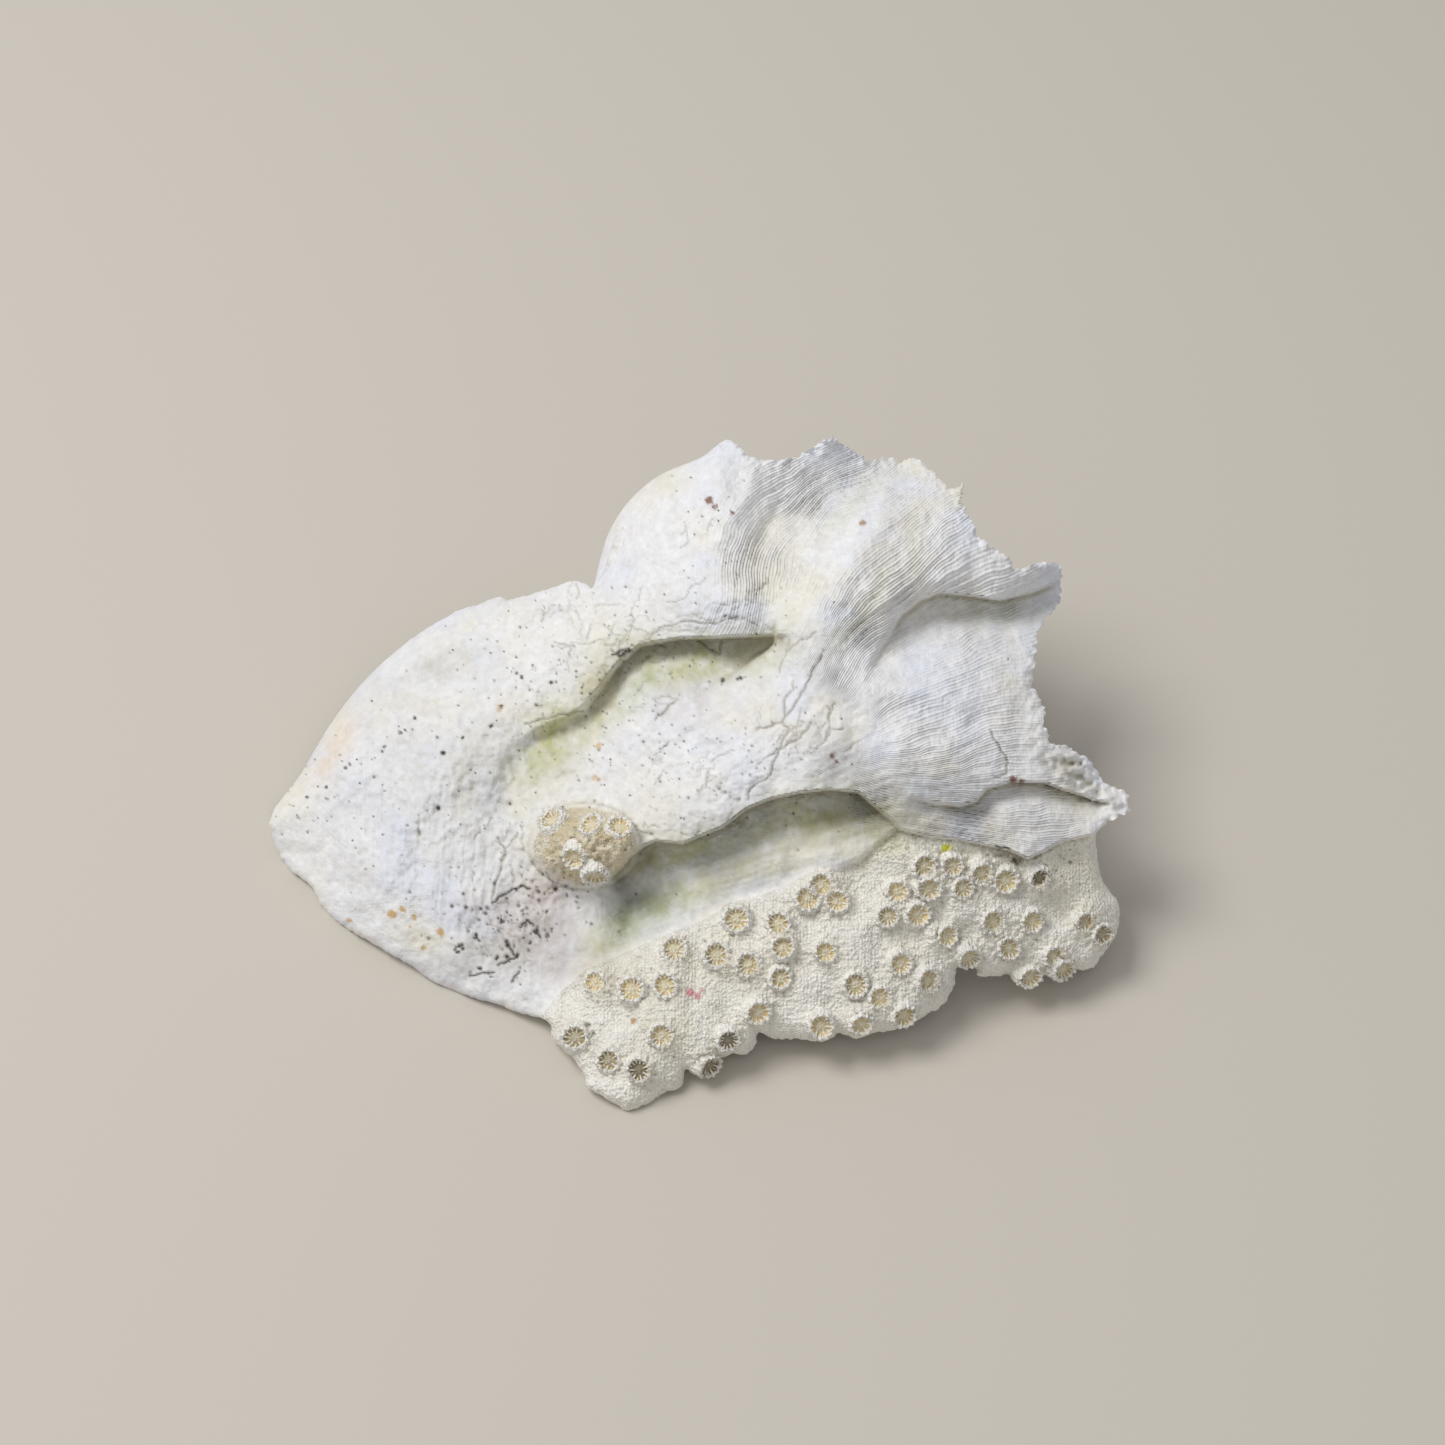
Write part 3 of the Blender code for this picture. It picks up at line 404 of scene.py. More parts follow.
# Growth lines: the number of each, counted across the fan, and pixels along it
GROWTH_LINES = {
    0: [(620, 600), (640, 520), (700, 460), (725, 445)],
    1: [(690, 620), (700, 560), (740, 490), (780, 458), (600, 760)],
    2: [(740, 620), (745, 560), (790, 500), (860, 460)],
    3: [(775, 620), (785, 560), (830, 505), (905, 462)],
    4: [(790, 660), (830, 590), (880, 530), (945, 488), (660, 765)],
    5: [(790, 700), (850, 620), (900, 570), (970, 515)],
    6: [(800, 720), (860, 650), (930, 600), (1010, 565)],
    7: [(800, 740), (870, 690), (960, 630), (1050, 590), (720, 775)],
    8: [(800, 760), (880, 720), (970, 680), (1035, 660)],
    8.5: [(760, 782)],
    9: [(820, 775), (900, 750), (980, 725), (1040, 715)],
    10: [(850, 785), (920, 775), (1000, 760), (1060, 750)],
    11: [(880, 800), (940, 800), (1010, 800), (1100, 790), (640, 878), (720, 858), (800, 832)],
    12: [(897, 818), (950, 825), (1010, 835), (1080, 830)],
    12.5: [(640, 904), (720, 882), (800, 858)],
    14: [(620, 932), (700, 906), (780, 884)],
    15: [(570, 965)],
    -2: [(500, 700)],
    -4: [(420, 800)],
    -5: [(480, 900)],
}
RIBS_PER_LINE = 6.8
FAINT_RIB = 0.03  # millimetres

# Where the growth lines stand out: pixel x, pixel y, radius in pixels and height in millimetres
RIBBED = [
    (765, 570, 42, 0.34), (800, 500, 42, 0.34), (850, 470, 36, 0.34), (735, 615, 34, 0.20),
    (865, 615, 42, 0.34), (905, 580, 40, 0.32), (840, 670, 36, 0.26), (950, 570, 40, 0.26),
    (1000, 575, 40, 0.22), (960, 660, 60, 0.20), (1010, 640, 45, 0.18), (930, 750, 60, 0.26),
    (1000, 740, 45, 0.20), (880, 800, 40, 0.26), (960, 830, 55, 0.34), (1040, 815, 40, 0.26),
    (900, 500, 40, 0.24), (720, 530, 50, 0.09), (950, 520, 40, 0.16), (640, 905, 50, 0.16),
    (740, 870, 60, 0.10), (830, 760, 40, 0.14), (710, 590, 40, 0.12),
]

# Fields of fine cracks: pixel x and y, half width and height, heading in degrees, count, length in pixels
CRACK_FIELDS = [
    (655, 622, 95, 22, -22, 26, 44), (590, 640, 44, 46, -60, 20, 36), (720, 780, 90, 30, -28, 30, 36),
    (800, 735, 46, 60, -52, 18, 40), (700, 828, 50, 12, -18, 22, 28), (545, 720, 22, 30, -55, 12, 20),
    (640, 700, 60, 30, -20, 9, 22), (505, 930, 45, 40, 35, 18, 18), (560, 870, 22, 20, -70, 6, 26),
    (450, 820, 70, 60, -60, 10, 14), (700, 560, 60, 60, -55, 8, 26), (510, 850, 14, 30, -60, 6, 26),
    (560, 620, 40, 24, -40, 10, 26),
]
MAIN_CRACKS = [
    [(822, 655), (807, 683), (800, 697), (782, 722), (789, 729), (779, 750), (770, 776), (750, 789),
     (748, 800)],
    [(782, 722), (768, 727), (756, 729)], [(779, 750), (800, 738), (812, 722)],
    [(990, 730), (1000, 748), (1008, 762), (1006, 774), (994, 778)],
    [(648, 640), (660, 628), (686, 621), (715, 624), (738, 616)],
    [(546, 872), (554, 884), (545, 893), (560, 880)], [(697, 640), (720, 655), (722, 640)],
    [(655, 720), (664, 712), (676, 700)], [(525, 724), (534, 722), (559, 715), (584, 711)],
    [(498, 838), (506, 852), (500, 872), (491, 900)],
]
BLACK_CRACKS = [
    [(492, 903), (503, 895), (522, 886), (530, 889)], [(507, 944), (512, 950), (516, 958)],
    [(455, 950), (460, 944)], [(474, 938), (481, 941)], [(533, 930), (541, 938)],
    [(520, 928), (528, 920), (534, 926)], [(996, 846), (1010, 849)], [(612, 655), (630, 648)],
    [(470, 976), (495, 972)], [(512, 982), (520, 970)], [(498, 965), (506, 962), (515, 958)],
]

# Single dark pits: pixel x and y and radius in pixels
PITS = [
    (444, 753, 2.4), (438, 808, 2.6), (522, 677, 2.2), (517, 674, 1.6), (551, 683, 2.0), (501, 706, 1.6),
    (400, 733, 1.8), (405, 730, 1.4), (415, 717, 1.8), (384, 747, 1.8), (383, 751, 1.4), (462, 738, 1.5),
    (491, 726, 1.8), (556, 889, 3.2), (462, 947, 2.8), (476, 936, 2.4), (508, 944, 3.0), (537, 931, 2.8),
    (516, 890, 1.8), (458, 952, 2.2), (723, 680, 2.4), (739, 677, 2.6), (626, 652, 3.4), (621, 655, 2.6),
    (307, 797, 1.6), (326, 787, 1.6), (346, 768, 1.8), (350, 764, 1.4), (690, 666, 1.2), (587, 1026, 3.6),
    (594, 1034, 2.0), (705, 941, 1.4), (1036, 877, 2.6), (1046, 866, 2.0), (1028, 872, 1.8),
    (1015, 861, 2.0), (497, 957, 2.0), (530, 943, 1.8), (518, 956, 2.2), (502, 922, 2.0),
    (547, 912, 1.6), (480, 968, 2.4),
]

# Scattered dark pits: pixel x and y, half width and half height, count, largest radius in pixels
PITTED = [
    (590, 680, 130, 90, 300, 1.3), (430, 800, 130, 110, 120, 1.3), (305, 790, 36, 46, 60, 1.3),
    (510, 930, 60, 46, 110, 2.0), (700, 770, 120, 60, 150, 1.3), (700, 520, 70, 60, 24, 1.2),
    (560, 880, 60, 40, 50, 1.7), (780, 620, 60, 60, 20, 1.0), (1000, 700, 70, 60, 8, 1.0),
    (620, 1060, 60, 40, 16, 1.5), (1040, 868, 30, 12, 30, 1.5), (760, 970, 180, 50, 22, 0.9),
]

# Stains: pixel x and y, radii along and across, heading in degrees, strength, colour
OLIVE = (0.50, 0.50, 0.22)
GREEN = (0.38, 0.47, 0.24)
PEACH = (0.84, 0.62, 0.42)
PINK_GREY = (0.55, 0.45, 0.42)
TAN = (0.58, 0.38, 0.16)
RUST = (0.24, 0.11, 0.07)
CREAM = (0.80, 0.74, 0.54)
MUD = (0.38, 0.35, 0.24)
UMBER = (0.40, 0.35, 0.20)
STAINS = [
    (690, 662, 85, 24, -12, 0.8, OLIVE), (545, 745, 50, 26, -60, 0.75, OLIVE),
    (590, 722, 40, 18, -35, 0.5, OLIVE), (640, 690, 26, 10, -45, 0.60, GREEN),
    (770, 650, 26, 16, -60, 0.45, OLIVE), (690, 850, 80, 18, -14, 0.62, OLIVE),
    (820, 815, 75, 28, -6, 0.66, OLIVE), (640, 915, 50, 18, -30, 0.68, GREEN),
    (700, 888, 70, 16, -20, 0.52, OLIVE), (880, 835, 24, 20, -50, 0.5, OLIVE),
    (600, 945, 34, 16, -40, 0.45, OLIVE), (610, 672, 52, 11, -44, 0.5, UMBER),
    (700, 645, 80, 8, -2, 0.4, UMBER), (770, 643, 16, 9, -10, 0.5, UMBER),
    (645, 862, 30, 8, -40, 0.5, UMBER), (760, 868, 60, 14, -12, 0.36, CREAM),
    (328, 755, 14, 40, 35, 0.48, PEACH), (288, 800, 30, 9, -50, 0.45, CREAM),
    (340, 720, 30, 12, -60, 0.35, CREAM), (530, 925, 48, 34, 10, 0.58, PINK_GREY),
    (575, 965, 34, 18, 0, 0.46, PINK_GREY), (545, 890, 30, 16, 0, 0.5, PINK_GREY),
    (505, 955, 30, 16, 20, 0.4, MUD), (690, 700, 40, 24, 0, 0.26, PINK_GREY),
    (430, 940, 30, 12, 20, 0.4, CREAM), (470, 905, 20, 14, 0, 0.25, PINK_GREY),
    (1060, 800, 50, 18, 10, 0.28, CREAM), (1062, 768, 26, 12, 35, 0.6, MUD),
    (915, 468, 34, 10, 20, 0.42, CREAM), (850, 505, 46, 12, -45, 0.30, OLIVE),
    (860, 615, 50, 10, -50, 0.20, OLIVE), (1000, 610, 60, 14, 5, 0.32, OLIVE),
    (510, 640, 60, 30, -20, 0.20, CREAM), (440, 665, 36, 13, -20, 0.38, MUD),
    (470, 625, 40, 10, -25, 0.3, CREAM), (410, 930, 30, 30, 0, 0.25, CREAM),
    (620, 640, 40, 20, -30, 0.25, OLIVE), (480, 780, 24, 60, 15, 0.24, MUD),
    (580, 800, 50, 20, -20, 0.16, CREAM), (660, 800, 60, 16, -20, 0.14, OLIVE),
    (600, 620, 30, 30, 0, 0.22, CREAM),
]
SPOTS = [
    (709, 500, 4.5, RUST), (714, 506, 3.5, RUST), (732, 512, 2.4, RUST), (832, 757, 3.0, RUST),
    (836, 762, 1.8, RUST), (1014, 780, 4.5, RUST), (1021, 781, 3.2, RUST), (392, 915, 5.0, TAN),
    (402, 909, 3.6, TAN), (415, 918, 3.0, TAN), (440, 932, 4.6, TAN), (424, 948, 3.4, TAN),
    (350, 920, 3.0, TAN), (410, 927, 2.4, TAN), (947, 849, 5.4, (0.80, 0.82, 0.02)),
    (690, 992, 4.2, (0.70, 0.25, 0.30)), (697, 996, 3.6, (0.75, 0.34, 0.38)),
    (702, 990, 2.4, (0.75, 0.4, 0.42)), (633, 1020, 3.6, (0.55, 0.30, 0.12)),
    (599, 745, 3.6, (0.70, 0.52, 0.34)), (863, 523, 2.8, (0.40, 0.28, 0.14)),
    (596, 778, 4.0, (0.72, 0.56, 0.42)), (500, 708, 4.0, (0.66, 0.5, 0.38)),
]
WHITE = (0.84, 0.84, 0.855)
FROND_WHITE = (0.96, 0.935, 0.87)
COOL = (0.77, 0.80, 0.90)
# painted shade: the colour of the recesses on the front, also random dark streaks of grime on the skirt
CAVITY_SHADE_AND_GRIME = (0.52, 0.48, 0.36)
KNOB_TAN = (0.66, 0.55, 0.34)
CUP_TAN = (0.66, 0.52, 0.25)
CUP_FLOOR = (0.82, 0.76, 0.58)
CUP_WALL = (1.0, 0.98, 0.92)
DARK = (0.05, 0.038, 0.03)
CRACK_BROWN = (0.24, 0.21, 0.15)

# The studio, in metres and watts
FLOOR_COLOUR = (0.60, 0.56, 0.50, 1)
KEY_PLACE = (-0.48, 0.02, 0.94)
KEY_POWER = 6.6
KEY_SIZE = 0.5
KEY_COLOUR = (1.0, 0.985, 0.96)
KEY_TARGET = (0, 0, 0.02)
SKY_COLOUR = (0.97, 0.98, 1.0, 1)
SKY_STRENGTH = 0.46


def unit(vectors):
    """The vectors at a length of one."""
    return vectors / np.maximum(np.linalg.norm(vectors, axis=-1, keepdims=True), 1e-12)


def noise(x, y, seed):
    """Smooth noise from -1 to 1, with a lattice point at every whole number."""
    table = np.random.default_rng(seed).uniform(-1, 1, (64, 64))
    x0 = np.floor(x)
    y0 = np.floor(y)
    fx = x - x0
    fy = y - y0
    fx = fx * fx * fx * (fx * (fx * 6 - 15) + 10)
    fy = fy * fy * fy * (fy * (fy * 6 - 15) + 10)
    ix = x0.astype(int) % 64
    iy = y0.astype(int) % 64
    jx = (ix + 1) % 64
    jy = (iy + 1) % 64
    top = table[iy, ix] * (1 - fx) + table[iy, jx] * fx
    low = table[jy, ix] * (1 - fx) + table[jy, jx] * fx
    return top * (1 - fy) + low * fy


def curve_point(before, start, end, after, t):
    """A point of the smooth curve from start to end that also heeds its two neighbours."""
    return 0.5 * (2 * start + (end - before) * t + (2 * before - 5 * start + 4 * end - after) * t * t
                  + (3 * start - before - 3 * end + after) * t ** 3)


def fine_outline():
    """The outline with rounded corners on its thick edges and small teeth along its broken margin."""
    rng = np.random.default_rng(5)
    corners = np.array(OUTLINE, float)
    points = []
    for k in range(len(corners)):
        before, start, end, after = (corners[(k + j) % len(corners)] for j in (-1, 0, 1, 2))
        along = end[:2] - start[:2]
        length = np.hypot(*along)
        side = np.array((-along[1], along[0])) / length
        torn = max(start[2], end[2]) < TORN_RADIUS
        if torn:
            tooth = TORN_TOOTH
        elif max(start[2], end[2]) > ROLLED_RADIUS:
            tooth = 0.0
        elif start[2] == FROND_RADIUS:
            tooth = FROND_TOOTH
        else:
            tooth = WORN_TOOTH
        pieces = max(1, round(length / (TORN_STEP if torn else PLAIN_STEP)))
        for j in range(pieces):
            t = j / pieces
            if torn:
                place = start + t * (end - start)
            else:
                place = curve_point(before, start, end, after, t)
            place[2] = start[2] + t * (end[2] - start[2])
            place[:2] += side * tooth * rng.uniform(-1, 1)
            points.append(tuple(place))
    return points


def outline_distance(px, py):
    """Distance to the fine outline near it, and to the plain outline elsewhere."""
    distance, columns = beside(OUTLINE, px, py, closed=True)
    near = np.abs(distance) < FINE_REACH
    fine, fine_columns = beside(FINE_OUTLINE, px[near], py[near], closed=True)
    distance[near] = fine
    columns[:, near] = fine_columns
    return distance, columns


FINE_OUTLINE = fine_outline()
growth_number = thin_plate([(x, y, number) for number, line in GROWTH_LINES.items() for x, y in line])


def front_height(px, py):
    """Height of the side that faces the viewer."""
    distance, columns = outline_distance(px, py)
    turn = np.clip(1 - np.abs(distance) * PIXEL / columns[2], 0, 1)
    return base_height(px, py) - math.sin(VIEW_ELEVATION) * columns[2] * (1 - np.sqrt(1 - turn ** 2))


def lowest_near(field, allowed, reach):
    """For each cell, the lowest allowed value within reach cells."""
    far = np.where(allowed, field, np.inf)
    result = far.copy()
    rows, columns = field.shape
    padded = np.pad(far, reach, constant_values=np.inf)
    for dy in range(-reach, reach + 1):
        for dx in range(-reach, reach + 1):
            if dx * dx + dy * dy <= reach * reach:
                part = padded[reach + dy:reach + dy + rows, reach + dx:reach + dx + columns]
                result = np.minimum(result, part)
    return result


def skirt_sheet(columns, steps):
    """The outer side of the sheet that folds from the fan's limb down to the table, with its normals."""
    along = np.linspace(0, len(LIMB) - 1, columns)
    px, py, height, share = (np.interp(along, range(len(LIMB)), column) for column in zip(*LIMB))
    start = seen(px, py, height)
    reach = SKIRT_REACH * (0.4 + 0.6 * share)
    end = np.column_stack((start[:, 0] * 1.02, start[:, 1] + reach, height * (1 - share) - 2.0 * share))
    middle = start + FORWARD * (reach * 1.1)[:, None]
    t = np.linspace(0, 1, steps)[None, :, None]
    sheet = (1 - t) ** 2 * start[:, None] + 2 * t * (1 - t) * middle[:, None] + t * t * end[:, None]
    normal = unit(np.cross(np.gradient(sheet, axis=0), np.gradient(sheet, axis=1)))
    normal *= np.sign((normal * (sheet - BODY_CENTRE)).sum(-1, keepdims=True))
    flute = SKIRT_FLUTE * np.sin(math.tau * along / SKIRT_FLUTE_LENGTH)[:, None, None]
    return sheet + normal * flute * smoothstep(0.1, 0.8, t), normal


def around(px, py, reach):
    """A pixel and those at this distance on its left and right, above and below it."""
    return px + reach * np.array((0, -1, 1, 0, 0)), py + reach * np.array((0, 0, 0, -1, 1))


def surface_frame(px, py):
    """A point of the front surface and its outward normal there, over the width of a cup."""
    xs, ys = around(px, py, 9.0)
    points = seen(xs, ys, front_height(xs, ys))
    return points[0], unit(np.cross(points[2] - points[1], points[3] - points[4]))


def pixel_of(point):
    """The pixel through which a point is seen."""
    ray = point - EYE
    scale = EYE_DISTANCE / (PIXEL * (ray @ FORWARD))
    return FRAME_CENTRE + ray[0] * scale, FRAME_CENTRE - (ray @ UPWARD) * scale


def out_of_sight(point):
    """Whether a cup at this point stays behind the front surface."""
    xs, ys = around(*pixel_of(point), CUP_RADIUS * 1.2 / PIXEL)
    edge, _ = beside(OUTLINE, xs, ys, closed=True)
    return edge.min() > 0 and point[2] + CUP_RADIUS < front_height(xs, ys).min()


def hidden_places():
    """Where the cups of the living side stand, under the plate, and which way they look."""
    places = []
    for (x0, y0), (x1, y1), count in HIDDEN_ROWS:
        for k in range(count):
            t = (k + 0.5) / count
            wave = 8 * math.sin(3.1 * k)
            place, normal = surface_frame(x0 + t * (x1 - x0), y0 + t * (y1 - y0) + wave)
            place = place - normal * (PLATE_THICKNESS + 0.5)
            if out_of_sight(place):
                places.append((place, -normal))
    return places


def rib_number(px, py):
    """The count of growth lines up to a place."""
    number = growth_number(px, py) * RIBS_PER_LINE
    return number + 0.8 * noise(px / 50, py / 50, 11) + 0.26 * noise(px / 15, py / 15, 12)


def rib_size(px, py):
    """How high the growth lines stand, in millimetres."""
    size = FAINT_RIB * np.ones(np.shape(px))
    for x, y, radius, height in RIBBED:
        size = np.maximum(size, height * swelling(px, py, x, y, radius, radius, 0))
    return size * (1.05 + 0.5 * noise(px / 22, py / 22, 14))


def ribs(px, py):
    """Height of the growth lines: rounded crests with narrow grooves, and broad waves under them."""
    number = rib_number(px, py)
    crest = 0.5 * np.cos(math.tau * number) - 0.5 * (1 - np.abs(np.sin(math.pi * number))) ** 2
    broad = np.cos(math.tau * (0.34 * number + 0.3 * noise(px / 30, py / 30, 13)))
    return rib_size(px, py) * (0.95 * crest + 0.3 * broad)


def streaks(px, py):
    """Faint fibres of the lobe, near upright in the picture on its left and slanting on its right."""
    lean = np.clip((px - 330) / 240, 0, 1)
    turn = np.radians(96 - 62 * lean)
    u = px * np.sin(turn) + py * np.cos(turn)
    v = px * np.cos(turn) - py * np.sin(turn)
    share = swelling(px, py, 390, 830, 95, 80, 0) + swelling(px, py, 500, 900, 80, 60, 0)
    return share * (0.06 * noise(u / 3.2, v / 26, 15) + 0.10 * noise(u / 8.5, v / 40, 16))


class Marks:
    """Round and line marks pressed into a field that is sampled on the relief's grid."""

    def __init__(self, px, py):
        self.x0 = px[0, 0]
        self.y0 = py[0, 0]
        self.field = np.zeros(px.shape)

    def dot(self, x, y, radius, strength):
        reach = int(radius / GRID_PIXELS + 2)
        column = int(round((x - self.x0) / GRID_PIXELS))
        row = int(round((y - self.y0) / GRID_PIXELS))
        rows = np.arange(max(row - reach, 0), min(row + reach + 1, self.field.shape[0]))
        columns = np.arange(max(column - reach, 0), min(column + reach + 1, self.field.shape[1]))
        if len(rows) == 0 or len(columns) == 0:
            return
        ys = (self.y0 + rows * GRID_PIXELS - y)[:, None]
        xs = (self.x0 + columns * GRID_PIXELS - x)[None]
        mark = strength * np.clip(1.35 - np.hypot(xs, ys) / radius, 0, 1)
        part = self.field[rows[0]:rows[-1] + 1, columns[0]:columns[-1] + 1]
        np.maximum(part, mark, out=part)

    def line(self, corners, width, strength, rng, wander):
        for (ax, ay), (bx, by) in zip(corners[:-1], corners[1:]):
            length = math.hypot(bx - ax, by - ay)
            count = max(2, int(length / 0.8))
            phase = rng.uniform(0, math.tau)
            for k in range(count):
                t = k / count
                sway = wander * math.sin(math.pi * t) * math.sin(phase + 7 * t)
                x = ax + t * (bx - ax) - sway * (by - ay) / length
                y = ay + t * (by - ay) + sway * (bx - ax) / length
                self.dot(x, y, width * rng.uniform(0.7, 1.2), strength)


def crack_marks(px, py):
    """The network of fine cracks."""
    rng = np.random.default_rng(9)
    marks = Marks(px, py)
    for cx, cy, half_x, half_y, heading, count, length in CRACK_FIELDS:
        for _ in range(count):
            lean = math.radians(heading + rng.normal(0, 20))
            line = [(cx + half_x * rng.normal(0, 0.55), cy + half_y * rng.normal(0, 0.55))]
            for _ in range(int(rng.integers(3, 9))):
                turn = lean + rng.normal(0, 0.55)
                reach = length / 7 * rng.uniform(0.5, 1.5)
                line.append((line[-1][0] + reach * math.cos(turn), line[-1][1] + reach * math.sin(turn)))
            marks.line(line, rng.uniform(0.75, 1.05), rng.uniform(0.15, 0.85), rng, 0.4)
    for line in MAIN_CRACKS:
        marks.line(line, 1.15, 1.0, rng, 1.0)
    return marks.field


def black_marks(px, py):
    """The black cracks and the pits."""
    rng = np.random.default_rng(10)
    marks = Marks(px, py)
    for line in BLACK_CRACKS:
        marks.line(line, 1.2, 0.9, rng, 1.0)
    for x, y, radius in PITS:
        for _ in range(3):
            shift = 0.4 * radius
            place = x + rng.normal(0, shift), y + rng.normal(0, shift)
            marks.dot(*place, radius * rng.uniform(0.6, 0.9), 1.0)
    for cx, cy, half_x, half_y, count, largest in PITTED:
        for _ in range(count):
            x = cx + half_x * rng.normal(0, 0.6)
            y = cy + half_y * rng.normal(0, 0.6)
            marks.dot(x, y, largest * (0.4 + 0.75 * rng.uniform() ** 3), rng.uniform(0.5, 1.0))
    return marks.field


def blurred(field, used, reach):
    """The mean over the used cells in a square around each cell."""
    result = []
    for layer in (np.where(used, field, 0.0), used.astype(float)):
        for axis in (0, 1):
            padding = [(reach + 1, reach) if a == axis else (0, 0) for a in (0, 1)]
            total = np.cumsum(np.pad(layer, padding), axis=axis)
            count = layer.shape[axis]
            high = np.take(total, np.arange(count) + 2 * reach + 1, axis=axis)
            layer = high - np.take(total, np.arange(count), axis=axis)
        result.append(layer)
    return result[0] / np.maximum(result[1], 1)


def fine_relief(x, y, edge, torn, grain):
    """How far the fine forms stand out from the smooth surface, in millimetres."""
    plate = 1 - grain
    relief = plate * (ribs(x, y) + streaks(x, y))
    relief += plate * (0.40 * noise(x / 38, y / 38, 21) + 0.27 * noise(x / 15, y / 15, 22))
    relief += plate * 0.18 * noise(x / 6, y / 6, 23) * (0.4 + swelling(x, y, 500, 790, 210, 170, 0))
    relief += plate * 0.08 * noise(x / 2.6, y / 2.6, 24)
    relief += grain * (0.75 * noise(x / 26, y / 26, 25) + 0.10 * noise(x / 6.5, y / 6.5, 26))
    relief += grain * 0.15 * noise(x / 2.2, y / 2.2, 27)
    relief += 0.45 * knob_share(x, y) ** 0.3 * noise(x / 5, y / 5, 38)
    frill = swelling(x, y, 1085, 770, 46, 24, 35) + 0.7 * swelling(x, y, 985, 858, 75, 10, 3)
    relief += frill * (1.0 * noise(x / 9, y / 7, 28) + 0.6 * noise(x / 4, y / 4, 29))
    torn_edge = np.exp(-edge / 7) * torn
    return relief + torn_edge * (0.5 * noise(x / 8, y / 8, 30) + 0.3 * noise(x / 3, y / 3, 31))


def cup_sockets(x, y):
    """The swelling under each cup on the frond and the knob, its hole and the flutes around it."""
    relief = np.zeros(x.shape)
    for cx, cy in FROND_CUPS + KNOB_CUPS:
        radius = np.hypot(x - cx, y - cy)
        relief += 0.85 * np.exp(-(radius / 16) ** 2) - 1.5 * smoothstep(9.5, 6.0, radius)
        round_it = np.arctan2(y - cy, x - cx)
        relief += 0.13 * np.cos(12 * round_it) * smoothstep(9, 12, radius) * smoothstep(24, 14, radius)
    return relief


def back_height(grid_front, used, x, y, edge, torn):
    """Height of the hidden side: a thickness behind the front, and below the table at the foot."""
    front = grid_front[used]
    taper = smoothstep(0, MARGIN_TAPER, edge * PIXEL)
    thin = MARGIN_THICKNESS + (PLATE_THICKNESS - MARGIN_THICKNESS) * taper
    thickness = np.where(torn, thin, PLATE_THICKNESS)
    reach = round(0.8 * PLATE_THICKNESS / PIXEL / GRID_PIXELS)
    lowest = lowest_near(grid_front, used, reach)[used]
    back = np.where(torn, front * (1 - taper) + lowest * taper, lowest) - thickness
    foot = np.hypot(x - FOOT[0], y - FOOT[1]) / FOOT[2]
    back = back + (np.minimum(back, -2.0) - back) * smoothstep(1.0, 0.8, foot)
    return np.minimum(back, front - THINNEST)


def relief_fields():
    """The relief on its grid of pixels: places, heights and what the colour follows."""
    px, py = np.meshgrid(np.arange(RELIEF_LEFT, RELIEF_RIGHT, GRID_PIXELS),
                         np.arange(RELIEF_TOP, RELIEF_BOTTOM, GRID_PIXELS))
    distance, columns = outline_distance(px, py)
    snap = (distance < 0) & (distance > -0.75 * GRID_PIXELS)
    used = (distance >= 0) | snap
    x = np.where(snap, columns[0], px)[used]
    y = np.where(snap, columns[1], py)[used]
    edge = np.maximum(distance, 0)[used]
    torn = columns[2][used] < TORN_RADIUS
    share = frond_share(x, y)
    knob = smoothstep(0.0, 0.5, knob_share(x, y) * (1.3 + 0.7 * noise(x / 9, y / 9, 44)))
    grain = np.maximum(share, knob)
    crack = crack_marks(px, py)[used] * (1 - grain)
    black = black_marks(px, py)[used] * (1 - 0.3 * share)
    front = front_height(x, y) + fine_relief(x, y, edge, torn, grain) + cup_sockets(x, y)
    front -= 0.24 * crack + 0.35 * black
    grid_front = np.zeros(px.shape)
    grid_front[used] = front
    # painted shade: darker where the surface lies below the mean of its neighbours
    hollow = np.clip((blurred(grid_front, used, 3)[used] - front) / 0.5, 0, 1) * smoothstep(2, 12, edge)
    back = back_height(grid_front, used, x, y, edge, torn)
    return {"used": used, "x": x, "y": y, "front": front, "back": back, "grain": grain, "knob": knob,
            "crack": crack, "black": black, "hollow": hollow}


def mixed(colour, other, weight):
    """The colours turned towards another one, by a weight for each."""
    weight = np.clip(weight, 0, 1)[:, None]
    return colour * (1 - weight) + np.array(other) * weight


